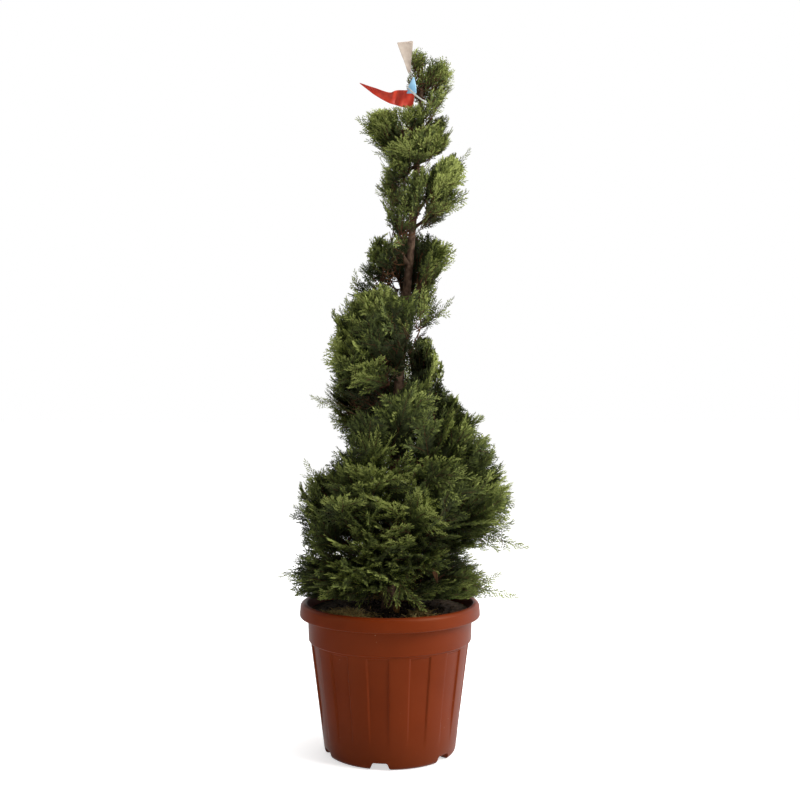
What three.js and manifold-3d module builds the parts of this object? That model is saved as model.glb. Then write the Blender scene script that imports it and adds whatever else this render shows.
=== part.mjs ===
// Spiral-cut conifer in a plastic nursery pot, with a loop label on its leader.
// Units are millimetres. +Z is up, +X is to the right and +Y points to the back.
// The origin is the centre of the flat foot under the pot.
import * as THREE from "three";
import { mergeVertices } from "three/addons/utils/BufferGeometryUtils.js";
import Module from "manifold-3d";

const wasm = await Module();
wasm.setup();

// ---------------------------------------------------------------- driving dimensions

const CLEAR = 0.3; // gap between pieces that meet

const POT = {
  height: 280,
  wall: 3,
  padRadius: 42, // flat pad in the middle of the underside
  floorRaise: 9, // the floor stands this far above the feet
  footRadius: 123, // outer wall, carried down to the ground
  shoulderRadius: 150, // outer wall where the collar starts
  collarZ: 210,
  collarRadius: 155.5,
  lipRadius: 170,
  lipHeight: 25,
  flutes: 12,
  fluteHalfWidth: 7, // degrees
  fluteBevel: 0.9, // degrees
  fluteDepth: 2.6,
  fluteFootZ: 46,
  turn: -98, // degrees from +X to the middle of the first flute
  notches: 6,
  notchWidth: 32,
  notchHeight: 13,
};

const SOIL = { rim: 258, top: 264, mound: 268, shrink: 1.8 };

const TRUNK = {
  tip: 1262,
  lean: 60,
  kink: 6,
  sway: 6,
  footRadius: 12.5,
  tipRadius: 3.4,
  flare: 8,
  flareHeight: 24,
  roots: 5,
  sides: 12,
  steps: 12,
};

// Reach of the crown from the stem at each drop below its top, on the right and on the left.
const CROWN = {
  top: 1330,
  skirt: 1044,
  frontLift: 24, // the foot of the crown is clipped this much higher at the front
  right: [
    [0, 10], [20, 46], [62, 70], [105, 60], [190, 64], [240, 96], [318, 100], [338, 54], [364, 52],
    [380, 86], [410, 84], [445, 62], [560, 58], [640, 98], [700, 160], [780, 202], [890, 238],
    [950, 178], [1000, 186], [1044, 172],
  ],
  left: [
    [0, 10], [12, 28], [110, 32], [134, 106], [190, 98], [230, 70], [285, 84], [302, 56],
    [345, 60], [370, 84], [440, 104], [500, 138], [640, 150], [740, 120], [800, 138], [824, 178],
    [1000, 207], [1044, 176],
  ],
};

// The clipped groove winds down the crown, and each turn of it lies further below the top.
const SPIRAL = {
  firstGroove: 133, // drop of the groove below the top at the first full turn
  growth: 1.6, // how many times deeper the groove lies after each further turn
  // Where the shears wandered: the groove's drop is multiplied by this at each turn.
  waver: [
    [0, 0.97], [0.5, 1.34], [1, 0.96], [1.5, 1.12], [2.2, 1],
    [2.5, 1.18], [3, 1.01], [3.5, 1.08], [4, 1.09], [4.27, 1.03],
  ],
  start: -1, // turns
  end: 4.27,
  masses: 15,
  crowding: 0.8, // masses lower down span less of a turn
  gap: 4, // half the width of the groove
  gapGrowth: 0.01,
  rise: 0.65, // upward slope of the foliage near the top; it fades out downwards
  pivotShare: 0.6, // share of the reach at which the groove lies at its stated drop
};

// The groove opens wide at the waist, where the bare stem shows from the front.
const WAIST = { turn: 2.24, spread: 0.08, opening: 90 };

const CORE = {
  innerRadius: 12,
  innerGrowth: 0.18,
  outerShare: 0.86,
  fill: 0.94,
  endShrink: 0.1,
  sides: 7,
  steps: 4,
};

const BOUGH = { radius: 2.6, radiusGrowth: 0.018, taper: 0.68, slope: 0.4, sides: 5, steps: 2 };

const SPRAY = {
  seed: 23,
  fewest: 10,
  perReach: 0.066, // sprays for each mm of reach
  tries: 900,
  twigRadius: 1.8,
  thickness: 1.8,
  half: [[0, 0.06], [0.46, 0.32], [0.52, 0.12]], // outline: root, tooth and notch as shares of the length
  rootShare: 0.62, // share of the reach at which the twigs end
  rootSpread: 0.72, // share of the band's depth over which they end
  sizes: [1.8, 1.5, 1.25, 1.05, 0.88, 0.72, 0.58], // tried in turn until a spray fits its space
  shortest: 38,
  longest: 125,
  steep: 68, // degrees above level at the top of the crown
  middle: 60,
  droop: 22, // over the pot
  droopDrop: 860, // drop at which the sprays start to spread
  depthTilt: 64, // degrees between the sprays at the top and at the foot of the band
  lean: 0.9,
  roll: 1.9, // radians, shared between both ways
};

// Long sprays that the shears missed. Each starts at a depth of its band and a share of the reach,
// and is as long as stated; they are slimmer than the clipped ones.
const STRAYS = [
  { turn: -0.52, depth: 0.75, share: 0.5, length: 84, tilt: 42, lean: 0.1 },
  { turn: 1.04, depth: 0.4, share: 0.45, length: 92, tilt: 46, lean: -0.1 },
  { turn: 2.04, depth: 0.88, share: 0.5, length: 92, tilt: 38, lean: 0.05 },
  { turn: 2.56, depth: 0.74, share: 0.78, length: 80, tilt: 20, lean: 0 },
  { turn: 3.47, depth: 0.36, share: 0.7, length: 74, tilt: 54, lean: 0.1 },
  { turn: 3.53, depth: 0.76, share: 0.66, length: 84, tilt: -14, lean: 0 },
  { turn: 3.06, depth: 0.88, share: 0.62, length: 138, tilt: -8, lean: 0.02 },
  { turn: 4.09, depth: 0.1, share: 0.62, length: 134, tilt: -16, lean: 0.3 },
];
const STRAY_SLIMNESS = 0.45;

const TUFT = { core: [34, 30, 41], shiftX: 15, centreDrop: 49 };

const LABEL = { loopZ: 1230, width: 32, thickness: 1, steps: 4 };

const MATERIALS = {
  bark: plainMaterial(0x6b4a35, 0.9),
  foliage: plainMaterial(0x2f4a22, 0.7),
  pot: plainMaterial(0x8a3d22, 0.45),
  soil: plainMaterial(0x1f1711, 1),
  labelBack: plainMaterial(0xcdb9a8, 0.5),
  labelBlue: plainMaterial(0x8fc9ea, 0.4),
  labelRed: plainMaterial(0xd8392b, 0.4),
};

// ---------------------------------------------------------------- small helpers

function plainMaterial(color, roughness) {
  return new THREE.MeshStandardMaterial({ color, roughness, metalness: 0, flatShading: true });
}

function named(name, geometry, material) {
  const mesh = new THREE.Mesh(geometry, material);
  mesh.name = name;
  return mesh;
}

function vec(x, y, z) {
  return new THREE.Vector3(x, y, z);
}

// Repeatable random numbers from 0 to 1.
function seededRandom(seed) {
  let state = seed >>> 0;
  return () => {
    state = (Math.imul(state, 1664525) + 1013904223) >>> 0;
    return state / 2 ** 32;
  };
}

// The value of a table of [place, value] pairs at a place, with straight runs between them.
function alongTable(table, place) {
  const next = table.findIndex(([at]) => at > place);
  if (next === 0) return table[0][1];
  if (next < 0) return table[table.length - 1][1];
  const [from, low] = table[next - 1];
  const [to, high] = table[next];
  return lerp(low, high, (place - from) / (to - from));
}

// Moves every vertex of a geometry by a function of its place.
function reshape(geometry, move) {
  const place = geometry.attributes.position;
  for (let i = 0; i < place.count; i++) {
    const moved = move(vec(place.getX(i), place.getY(i), place.getZ(i)));
    place.setXYZ(i, moved.x, moved.y, moved.z);
  }
  return geometry;
}

function solidOf(geometry) {
  const bare = geometry.clone();
  bare.deleteAttribute("normal");
  bare.deleteAttribute("uv");
  const merged = mergeVertices(bare, 1e-4);
  return new wasm.Manifold(
    new wasm.Mesh({
      numProp: 3,
      vertProperties: new Float32Array(merged.attributes.position.array),
      triVerts: new Uint32Array(merged.index.array),
    }),
  );
}

function geometryOf(solid) {
  const mesh = solid.getMesh();
  return new THREE.BufferGeometry()
    .setAttribute("position", new THREE.BufferAttribute(mesh.vertProperties, 3))
    .setIndex(new THREE.BufferAttribute(mesh.triVerts, 1));
}

// The largest connected body of a solid, without any loose scraps.
function mainBody(solid) {
  return solid.decompose().reduce((a, b) => (b.volume() > a.volume() ? b : a));
}

// A closed round limb along a curve, whose radius follows a function of the share of its length.
function limbGeometry(curve, radiusAt, sides, steps) {
  const { normals, binormals } = curve.computeFrenetFrames(steps, false);
  return reshape(new THREE.CylinderGeometry(1, 1, 1, sides, steps), ({ x, y, z }) => {
    const share = y + 0.5;
    const step = Math.round(share * steps);
    const radius = radiusAt(share);
    return curve
      .getPointAt(share)
      .addScaledVector(normals[step], x * radius)
      .addScaledVector(binormals[step], -z * radius);
  });
}

function twigGeometry(from, to, radius) {
  const curve = new THREE.LineCurve3(from, to);
  return limbGeometry(curve, (share) => radius * lerp(1, 0.6, share), 3, 1);
}

// ---------------------------------------------------------------- stem line and crown shape

const { clamp, lerp, degToRad, euclideanModulo } = THREE.MathUtils;
const TAU = 2 * Math.PI;

// Centre of the stem at a height: it leans to the right, with a slight kink high up.
function stemCentre(z) {
  const share = clamp((z - SOIL.mound) / (TRUNK.tip - SOIL.mound), 0, 1.05);
  const kink = share > 0.5 ? TRUNK.kink * Math.sin(TAU * (share - 0.5)) : 0;
  return vec(TRUNK.lean * share ** 1.5 + kink, TRUNK.sway * Math.sin(TAU * share), z);
}

function stemRadius(z) {
  const share = clamp((z - SOIL.mound) / (TRUNK.tip - SOIL.mound), 0, 1);
  return lerp(TRUNK.tipRadius, TRUNK.footRadius, (1 - share) ** 0.75);
}

// The spiral goes down clockwise as seen from above, from +X to the front.
function azimuthAt(turn) {
  return -TAU * turn;
}

function outwardAt(turn) {
  return vec(Math.cos(azimuthAt(turn)), Math.sin(azimuthAt(turn)), 0);
}

// 0 on the right, 1 on the left.
function leftness(turn) {
  return (1 - Math.cos(azimuthAt(turn))) / 2;
}

function crownReach(turn, drop) {
  return lerp(alongTable(CROWN.right, drop), alongTable(CROWN.left, drop), leftness(turn));
}

function grooveDrop(turn) {
  return SPIRAL.firstGroove * SPIRAL.growth ** turn * alongTable(SPIRAL.waver, turn);
}

// The band of foliage at a turn lies between this turn's groove and the next one's.
function bandTop(turn) {
  if (turn < SPIRAL.start) return 0;
  const waist = WAIST.opening * Math.exp(-(((turn - WAIST.turn) / WAIST.spread) ** 2));
  return grooveDrop(turn) * (1 + SPIRAL.gapGrowth) + SPIRAL.gap + waist;
}

function bandFoot(turn) {
  return Math.min(grooveDrop(turn + 1) * (1 - SPIRAL.gapGrowth) - SPIRAL.gap, CROWN.skirt);
}

function riseAt(drop) {
  return SPIRAL.rise * Math.max(0, 1 - drop / CROWN.skirt);
}

// A point of the band: depth goes from its top (0) to its foot (1), share from the stem to the full reach.
function bandPoint(turn, depth, share) {
  const level = lerp(bandTop(turn), bandFoot(turn), depth);
  const reach = crownReach(turn, level);
  const drop = level - riseAt(level) * (share - SPIRAL.pivotShare) * reach;
  return stemCentre(CROWN.top - drop).addScaledVector(outwardAt(turn), share * reach);
}

// Nothing of a mass comes nearer to the stem than this.
function innerRadius(turn, drop) {
  return CORE.innerRadius + CORE.innerGrowth * crownReach(turn, drop);
}

// Whether a point keeps to the space of the band between two turns.
function inSpace(point, first, last) {
  const drop = CROWN.top - point.z;
  const out = point.clone().sub(stemCentre(point.z));
  const radius = Math.hypot(out.x, out.y);
  const turn = first + euclideanModulo(-Math.atan2(out.y, out.x) / TAU - first, 1);
  const reach = crownReach(turn, drop);
  const level = drop + riseAt(drop) * (radius - SPIRAL.pivotShare * reach);
  const sideways = TAU * radius * Math.min(turn - first, last - turn);
  const whole = last - first >= 1;
  return (
    drop > 0 &&
    drop < CROWN.skirt - CROWN.frontLift * clamp(-out.y / POT.lipRadius, 0, 1) &&
    radius < reach &&
    (whole || (sideways > 2 && radius > innerRadius(turn, drop))) &&
    level > bandTop(turn) &&
    level < bandFoot(turn)
  );
}

// ---------------------------------------------------------------- trunk, boughs and label

function trunkGeometry(extra) {
  const foot = SOIL.mound + CLEAR;
  const stem = new THREE.CylinderGeometry(1, 1, 1, TRUNK.sides, TRUNK.steps);
  return reshape(stem, ({ x, y, z }) => {
    const height = lerp(foot, TRUNK.tip, (y + 0.5) ** 1.3);
    const ribs = 0.65 + 0.35 * Math.cos(TRUNK.roots * Math.atan2(z, x));
    const flare = TRUNK.flare * ribs * Math.exp((foot - height) / TRUNK.flareHeight);
    const radius = stemRadius(height) + flare + extra;
    return stemCentre(height).add(vec(x * radius, -z * radius, 0));
  });
}

// A bough leaves the stem and climbs out to the inner side of the mass that it carries.
function boughCurve(turn) {
  const tip = bandPoint(turn, 0.6, 0);
  const drop = CROWN.top - tip.z;
  const length = innerRadius(turn, drop);
  const climb = length * (riseAt(drop) + BOUGH.slope);
  const root = stemCentre(Math.max(tip.z - climb, SOIL.mound + 12));
  root.addScaledVector(outwardAt(turn), stemRadius(root.z) * 0.6);
  tip.addScaledVector(outwardAt(turn), length);
  const bend = root.clone().lerp(tip, 0.5);
  bend.z -= climb * 0.1;
  return new THREE.CatmullRomCurve3([root, bend, tip]);
}

function boughRadius(turn) {
  return BOUGH.radius + BOUGH.radiusGrowth * crownReach(turn, bandFoot(turn));
}

function boughGeometry(turn, extra) {
  const radius = boughRadius(turn);
  const radiusAt = (share) => radius * lerp(1, BOUGH.taper, share) + extra;
  return limbGeometry(boughCurve(turn), radiusAt, BOUGH.sides, BOUGH.steps);
}

// A thin strip along a curve, with its width at each share of its length and its side direction.
function stripGeometry(points, widths, side, extra) {
  const curve = new THREE.CatmullRomCurve3(points);
  const strip = new THREE.BoxGeometry(1, 1, 1, LABEL.steps, 1, 1);
  return reshape(strip, ({ x, y, z }) => {
    const share = x + 0.5;
    const along = curve.getTangentAt(share);
    const across = side.clone().addScaledVector(along, -side.dot(along)).normalize();
    const through = vec(0, 0, 0).crossVectors(along, across);
    return curve
      .getPointAt(share)
      .addScaledVector(across, y * (alongTable(widths, share) + 2 * extra))
      .addScaledVector(through, z * (LABEL.thickness + 2 * extra));
  });
}

// The loop label: a tail drawn out to the left, a band beside the leader and a flap that stands up.
function labelGeometries(extra) {
  const at = (x, y, z) => stemCentre(LABEL.loopZ).add(vec(x, y, z));
  const full = LABEL.width;
  return {
    label_tail: stripGeometry(
      [at(-16, -30, -12), at(-44, -36, -16), at(-76, -38, -6), at(-116, -34, 16)],
      [[0, full * 0.95], [0.35, full * 0.6], [0.75, full * 0.36], [1, 2]],
      vec(0.1, -0.3, 1),
      extra,
    ),
    label_band: stripGeometry(
      [at(-12, -26, -2), at(-14, -24, 14), at(-17, -20, 34)],
      [[0, full * 0.3], [0.6, full * 0.4], [1, 4]],
      vec(1, -0.3, 0),
      extra,
    ),
    label_flap: stripGeometry(
      [at(-17, -18, 44), at(-22, -15, 72), at(-27, -15, 104)],
      [[0, 5], [0.4, full * 0.4], [1, full]],
      vec(1, 0.1, 0),
      extra,
    ),
  };
}

// ---------------------------------------------------------------- foliage

// The dense inner part of a mass: a stretch of the band with an oval section, smaller at its ends.
function coreGeometry(first, last) {
  const band = new THREE.CylinderGeometry(1, 1, 1, CORE.sides, CORE.steps);
  return reshape(band, ({ x, y, z }) => {
    const turn = lerp(first, last, 0.5 + 0.97 * y);
    const shrink = 1 - CORE.endShrink * (2 * y) ** 4;
    const level = lerp(bandTop(turn), bandFoot(turn), 0.5);
    const inner = innerRadius(turn, level) / crownReach(turn, level);
    const share = lerp(inner, CORE.outerShare, 0.5 + 0.5 * x * shrink);
    return bandPoint(turn, 0.5 + (CORE.fill / 2) * z * shrink, share);
  });
}

// The dense inner part of the top mass: an oval round the leader, fuller on the right.
function tuftCore() {
  const [width, depth, height] = TUFT.core;
  const centre = stemCentre(CROWN.top - TUFT.centreDrop).add(vec(TUFT.shiftX, 0, 0));
  const oval = new THREE.SphereGeometry(1, CORE.sides, CORE.steps).rotateX(Math.PI / 2);
  return oval.scale(width, depth, height).translate(centre.x, centre.y, centre.z);
}

// A flat spray of scale leaves: a blade with two pairs of teeth that point forwards.
function sprayGeometry(length, slimness) {
  const scaled = ([x, y], side) => new THREE.Vector2(x * length, side * y * length * slimness);
  const outline = new THREE.Shape([
    ...SPRAY.half.map((point) => scaled(point, -1)),
    new THREE.Vector2(length, 0),
    ...SPRAY.half.toReversed().map((point) => scaled(point, 1)),
  ]);
  const spray = new THREE.ExtrudeGeometry(outline, { depth: SPRAY.thickness, bevelEnabled: false });
  return spray.translate(0, 0, -SPRAY.thickness / 2);
}

// Sprays stand steeply at the top of the crown, then spread and hang a little over the pot.
function sprayTilt(drop, depth) {
  const high = lerp(SPRAY.steep, SPRAY.middle, clamp(drop / SPRAY.droopDrop, 0, 1));
  const low = clamp((drop - SPRAY.droopDrop) / (CROWN.skirt - SPRAY.droopDrop), 0, 1);
  return degToRad(lerp(high, SPRAY.droop, low) + SPRAY.depthTilt * (0.5 - depth));
}

// Where a spray lies: it points outwards and up by its tilt, leans to a side and is rolled on its axis.
function sprayPlace(root, outward, tilt, lean, roll) {
  const side = vec(-outward.y, outward.x, 0);
  const along = outward.clone().multiplyScalar(Math.cos(tilt)).addScaledVector(side, lean);
  along.z = Math.sin(tilt);
  along.normalize();
  const face = vec(0, 0, 0).crossVectors(along, side).normalize().applyAxisAngle(along, roll);
  const across = vec(0, 0, 0).crossVectors(face, along);
  return new THREE.Matrix4().makeBasis(along, across, face).setPosition(root);
}

function sprayFits(length, place, first, last) {
  const tips = [[1, 0], ...SPRAY.half.slice(1).flatMap(([x, y]) => [[x, y], [x, -y]])];
  return tips.every(([x, y]) => inSpace(vec(x * length, y * length, 0).applyMatrix4(place), first, last));
}

function touches(geometry, solid) {
  return !solidOf(geometry).intersect(solid).isEmpty();
}

// One mass of foliage: twigs branch from a stem that grows on from the limb, and each ends in a spray.
function massGeometry({ seed, first, last, stem, core }, keepClear) {
  const random = seededRandom(seed);
  const middle = (first + last) / 2;
  const reach = crownReach(middle, lerp(bandTop(middle), bandFoot(middle), 0.5));
  const wanted = Math.round(SPRAY.fewest + SPRAY.perReach * reach);
  const pieces = [solidOf(stem.geometry), solidOf(core).subtract(keepClear)];
  for (let i = 0, grown = 0; i < SPRAY.tries && grown < wanted; i++) {
    const turn = lerp(first, last, 0.04 + (0.92 * (grown + random())) / wanted);
    const depth = 0.5 + SPRAY.rootSpread * (random() - 0.5);
    const root = bandPoint(turn, depth, SPRAY.rootShare * (0.9 + 0.2 * random()));
    const drop = CROWN.top - root.z;
    const tilt = sprayTilt(drop, depth);
    const place = sprayPlace(
      root,
      outwardAt(turn),
      tilt,
      SPRAY.lean * (random() - 0.5),
      SPRAY.roll * (random() - 0.5),
    );
    const room = ((1 - SPRAY.rootShare) * crownReach(turn, drop)) / Math.cos(tilt);
    const lengths = SPRAY.sizes.map((size) => size * clamp(room, SPRAY.shortest, SPRAY.longest));
    const length = lengths.find((each) => sprayFits(each, place, first, last));
    if (!length) continue;
    const spray = sprayGeometry(length, 1).applyMatrix4(place);
    const twig = twigGeometry(stem.curve.getPointAt(0.5 + 0.5 * random()), root, SPRAY.twigRadius);
    if (touches(twig, keepClear) || touches(spray, keepClear)) continue;
    pieces.push(solidOf(twig), solidOf(spray));
    grown++;
  }
  for (const stray of STRAYS.filter(({ turn }) => turn > first && turn < last)) {
    const root = bandPoint(stray.turn, stray.depth, stray.share);
    const place = sprayPlace(root, outwardAt(stray.turn), degToRad(stray.tilt), stray.lean, 0);
    const spray = sprayGeometry(stray.length, STRAY_SLIMNESS).applyMatrix4(place);
    const twig = twigGeometry(stem.curve.getPointAt(1), root, SPRAY.twigRadius);
    for (const piece of [twig, spray]) pieces.push(solidOf(piece).subtract(keepClear));
  }
  return geometryOf(mainBody(wasm.Manifold.union(pieces)));
}

// The stem inside a mass on the spiral: it carries on from its bough's tip to the heart of the mass.
function massStem(turn) {
  const curve = boughCurve(turn);
  const heading = curve.getTangentAt(1);
  const radius = boughRadius(turn) * BOUGH.taper;
  const foot = curve.getPointAt(1).addScaledVector(heading, CLEAR);
  const knee = foot.clone().addScaledVector(heading, radius * 2);
  const heart = bandPoint(turn, 0.5, CORE.outerShare * 0.7);
  const stemCurve = new THREE.CatmullRomCurve3([foot, knee, heart]);
  const radiusAt = (share) => radius * lerp(1, 0.6, share);
  return { curve: stemCurve, geometry: limbGeometry(stemCurve, radiusAt, BOUGH.sides, BOUGH.steps) };
}

// The stem of the top mass carries on straight up from the trunk's tip.
function leaderStem() {
  const foot = stemCentre(TRUNK.tip + CLEAR);
  const heart = stemCentre(CROWN.top - 22);
  const curve = new THREE.LineCurve3(foot, heart);
  const radiusAt = (share) => TRUNK.tipRadius * lerp(0.9, 0.5, share);
  return { curve, geometry: limbGeometry(curve, radiusAt, BOUGH.sides, 1) };
}

// ---------------------------------------------------------------- pot and soil

function wallRadius(z) {
  return lerp(POT.footRadius, POT.shoulderRadius, z / POT.collarZ);
}

// The pot's section, from the middle of its underside up the outside and down the inside.
function potSection() {
  const { height, wall, padRadius, floorRaise, footRadius, collarZ, shoulderRadius } = POT;
  const { collarRadius, lipRadius, fluteFootZ } = POT;
  const lipZ = height - POT.lipHeight;
  return [
    [0, 0],
    [padRadius, 0],
    [padRadius + 3, floorRaise],
    [footRadius - 18, floorRaise],
    [footRadius - 14, 0],
    [footRadius - 6, 0],
    [wallRadius(7), 7],
    [wallRadius(fluteFootZ), fluteFootZ],
    [wallRadius(collarZ - 3), collarZ - 3],
    [shoulderRadius + 1.5, collarZ],
    [collarRadius, lipZ],
    [lipRadius - 1, lipZ],
    [lipRadius, lipZ + 3],
    [lipRadius - 3, height - 5],
    [lipRadius - 8, height],
    [lipRadius - 13, height - 5],
    [collarRadius - 2 * wall, lipZ],
    [wallRadius(floorRaise + wall) - 2 * wall, floorRaise + wall],
    [0, floorRaise + wall],
  ].map(([radius, z]) => new THREE.Vector2(radius, z));
}

// The angles of the pot's facets, so that every flute is a flat floor between two bevels.
function potAngles() {
  const { fluteHalfWidth: half, fluteBevel: bevel } = POT;
  return Array.from({ length: POT.flutes }, (_, k) => (k * 360) / POT.flutes + POT.turn)
    .flatMap((middle) => [-half - bevel, -half + bevel, half - bevel, half + bevel].map((a) => middle + a))
    .map(degToRad);
}

function potGeometry() {
  const angles = potAngles();
  const lathe = new THREE.LatheGeometry(potSection(), angles.length);
  const fluted = reshape(lathe, ({ x, y, z }) => {
    const facet = Math.round((euclideanModulo(Math.atan2(-z, x), TAU) / TAU) * angles.length);
    const index = facet % angles.length;
    const onFlute = y >= POT.fluteFootZ && y < POT.collarZ - 2 && index % 4 > 0 && index % 4 < 3;
    const radius = Math.hypot(x, z) - (onFlute ? POT.fluteDepth : 0);
    return vec(radius * Math.cos(angles[index]), radius * Math.sin(angles[index]), y);
  });
  const notches = Array.from({ length: POT.notches }, (_, k) => {
    return solidOf(notchGeometry().rotateZ(degToRad(POT.turn + (k * 360) / POT.notches)));
  });
  return geometryOf(mainBody(solidOf(fluted).subtract(wasm.Manifold.union(notches))));
}

// A drainage notch through the foot of the wall, wider at the ground than at its top.
function notchGeometry() {
  const { notchWidth: width, notchHeight: height, footRadius } = POT;
  const half = [[width / 2 + 3, -5], [width / 2 + 2, 1], [width / 2 - 2, height - 2], [width / 2 - 5, height]];
  const outline = new THREE.Shape([
    ...half.map(([x, y]) => new THREE.Vector2(x, y)),
    ...half.toReversed().map(([x, y]) => new THREE.Vector2(-x, y)),
  ]);
  const notch = new THREE.ExtrudeGeometry(outline, { depth: 30, bevelEnabled: false });
  return notch.rotateX(Math.PI / 2).rotateZ(Math.PI / 2).translate(footRadius - 19, 0, 0);
}

// The compost fills the pot to just under its lip and swells a little round the stem.
function soilGeometry() {
  const inset = 2 * POT.wall + SOIL.shrink;
  const floor = POT.floorRaise + POT.wall + CLEAR;
  const section = [
    [0, floor],
    [wallRadius(floor) - inset, floor],
    [POT.collarRadius - inset, SOIL.rim - 4],
    [POT.collarRadius - inset - 3, SOIL.rim],
    [POT.collarRadius * 0.6, SOIL.top],
    [TRUNK.footRadius * 3, SOIL.mound],
    [0, SOIL.mound],
  ].map(([radius, z]) => new THREE.Vector2(radius, z));
  return geometryOf(solidOf(new THREE.LatheGeometry(section, 24).rotateX(Math.PI / 2)));
}

// ---------------------------------------------------------------- assembly

const topiary = new THREE.Group();
topiary.add(named("pot", potGeometry(), MATERIALS.pot));
topiary.add(named("soil", soilGeometry(), MATERIALS.soil));
topiary.add(named("trunk", trunkGeometry(0), MATERIALS.bark));

const labelMaterials = { label_tail: "labelRed", label_band: "labelBlue", label_flap: "labelBack" };
for (const [name, geometry] of Object.entries(labelGeometries(0))) {
  topiary.add(named(name, geometry, MATERIALS[labelMaterials[name]]));
}

const turns = Array.from({ length: SPIRAL.masses + 1 }, (_, k) =>
  lerp(SPIRAL.start, SPIRAL.end, (k / SPIRAL.masses) ** SPIRAL.crowding),
);
const spans = turns.slice(1).map((last, k) => ({ first: turns[k], last, middle: (turns[k] + last) / 2 }));

const trunkSleeve = solidOf(trunkGeometry(CLEAR));
const boughSleeves = spans.map(({ middle }) => solidOf(boughGeometry(middle, CLEAR)));
const labelSleeves = Object.values(labelGeometries(2 * CLEAR)).map(solidOf);
const keepClear = wasm.Manifold.union([trunkSleeve, ...boughSleeves, ...labelSleeves]);

spans.forEach(({ middle }, k) => {
  const bough = mainBody(solidOf(boughGeometry(middle, 0)).subtract(trunkSleeve));
  topiary.add(named("bough_" + (k + 1), geometryOf(bough), MATERIALS.bark));
});

spans.forEach(({ first, last, middle }, k) => {
  const mass = { seed: SPRAY.seed + k, first, last, stem: massStem(middle), core: coreGeometry(first, last) };
  topiary.add(named("foliage_" + (k + 1), massGeometry(mass, keepClear), MATERIALS.foliage));
});

const topMass = {
  seed: SPRAY.seed - 1,
  first: SPIRAL.start - 1,
  last: SPIRAL.start,
  stem: leaderStem(),
  core: tuftCore(),
};
topiary.add(named("foliage_top", massGeometry(topMass, keepClear), MATERIALS.foliage));

export default topiary;
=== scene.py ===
# %% [markdown]
# # A spiral-clipped conifer in a plastic nursery pot
#
# The real thing is a young cypress-like conifer whose crown was clipped into a spiral. It stands in
# compost in a moulded pot, and a loop label hangs from its leader. The solid model already holds
# every limb and every mass of foliage at its real size. Here each of them gets its finished surface.
# Sizes are metres unless a comment says otherwise. +Z is up, +X is right, +Y is the back, and the
# origin is under the pot.

# %% Load the frame
import math
from functools import partial

import bpy
import numpy as np
from mathutils import Matrix, Vector, noise


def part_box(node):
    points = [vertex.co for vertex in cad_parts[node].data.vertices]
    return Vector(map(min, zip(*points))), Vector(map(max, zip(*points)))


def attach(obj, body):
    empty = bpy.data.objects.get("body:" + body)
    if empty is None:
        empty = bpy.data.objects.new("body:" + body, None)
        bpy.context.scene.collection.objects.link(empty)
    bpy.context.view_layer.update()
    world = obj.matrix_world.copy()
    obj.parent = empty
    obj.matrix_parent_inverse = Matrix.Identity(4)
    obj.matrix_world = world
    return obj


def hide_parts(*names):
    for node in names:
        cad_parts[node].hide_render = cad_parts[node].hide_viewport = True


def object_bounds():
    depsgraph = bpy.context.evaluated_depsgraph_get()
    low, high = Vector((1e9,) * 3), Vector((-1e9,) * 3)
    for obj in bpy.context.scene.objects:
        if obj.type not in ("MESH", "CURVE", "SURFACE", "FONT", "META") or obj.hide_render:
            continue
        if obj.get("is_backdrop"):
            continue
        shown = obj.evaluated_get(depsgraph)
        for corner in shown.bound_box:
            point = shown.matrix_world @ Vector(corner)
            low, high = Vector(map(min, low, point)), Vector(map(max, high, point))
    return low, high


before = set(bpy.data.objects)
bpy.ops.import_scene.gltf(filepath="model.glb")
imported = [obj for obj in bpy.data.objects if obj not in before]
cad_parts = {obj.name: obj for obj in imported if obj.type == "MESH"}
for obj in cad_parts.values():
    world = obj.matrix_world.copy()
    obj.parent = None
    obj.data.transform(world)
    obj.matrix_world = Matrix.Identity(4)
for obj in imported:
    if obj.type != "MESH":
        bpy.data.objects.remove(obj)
cad_low, cad_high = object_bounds()
pot_low, pot_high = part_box("pot")
POT_HEIGHT = pot_high.z
LIP_RADIUS = (pot_high.x - pot_low.x) / 2
print(f"{len(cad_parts)} solids, pot {POT_HEIGHT:.3f} high and {2 * LIP_RADIUS:.3f} across its lip")

# %% [markdown]
# ## Camera, light and floor
#
# A plant of this height is viewed from about two metres away, with the camera level at half its
# height. A large soft lamp stands high on the right and in front, another hangs overhead, and a weak
# one fills from the left. The room is white behind the plant and dim in front of it. The floor is a
# plain pale sheet that is marked as stage, because it isn't part of the plant.

# %% Camera
CAMERA_PLACE = (0.019, -2.0, 0.66)
CAMERA_LENS = 47.5
SENSOR = 36

camera_data = bpy.data.cameras.new("camera")
camera_data.lens = CAMERA_LENS
camera_data.sensor_width = SENSOR
camera = bpy.data.objects.new("camera", camera_data)
camera.location = CAMERA_PLACE
camera.rotation_euler = (math.radians(90), 0, 0)
bpy.context.scene.collection.objects.link(camera)
bpy.context.scene.camera = camera
bpy.context.scene.view_settings.view_transform = "Standard"
print("camera", CAMERA_PLACE, "lens", CAMERA_LENS)

# %% Lamps
LAMPS = {
    # name: place, width, height, watts
    "softbox_right": ((2.2, -1.1, 2.1), 1.1, 1.6, 70),
    "overhead": ((0.3, 0.1, 3.2), 2.0, 2.0, 48),
    "softbox_left": ((-2.4, -1.2, 1.4), 0.9, 1.6, 8),
}
AIM = Vector((0, 0, 0.65))

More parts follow.
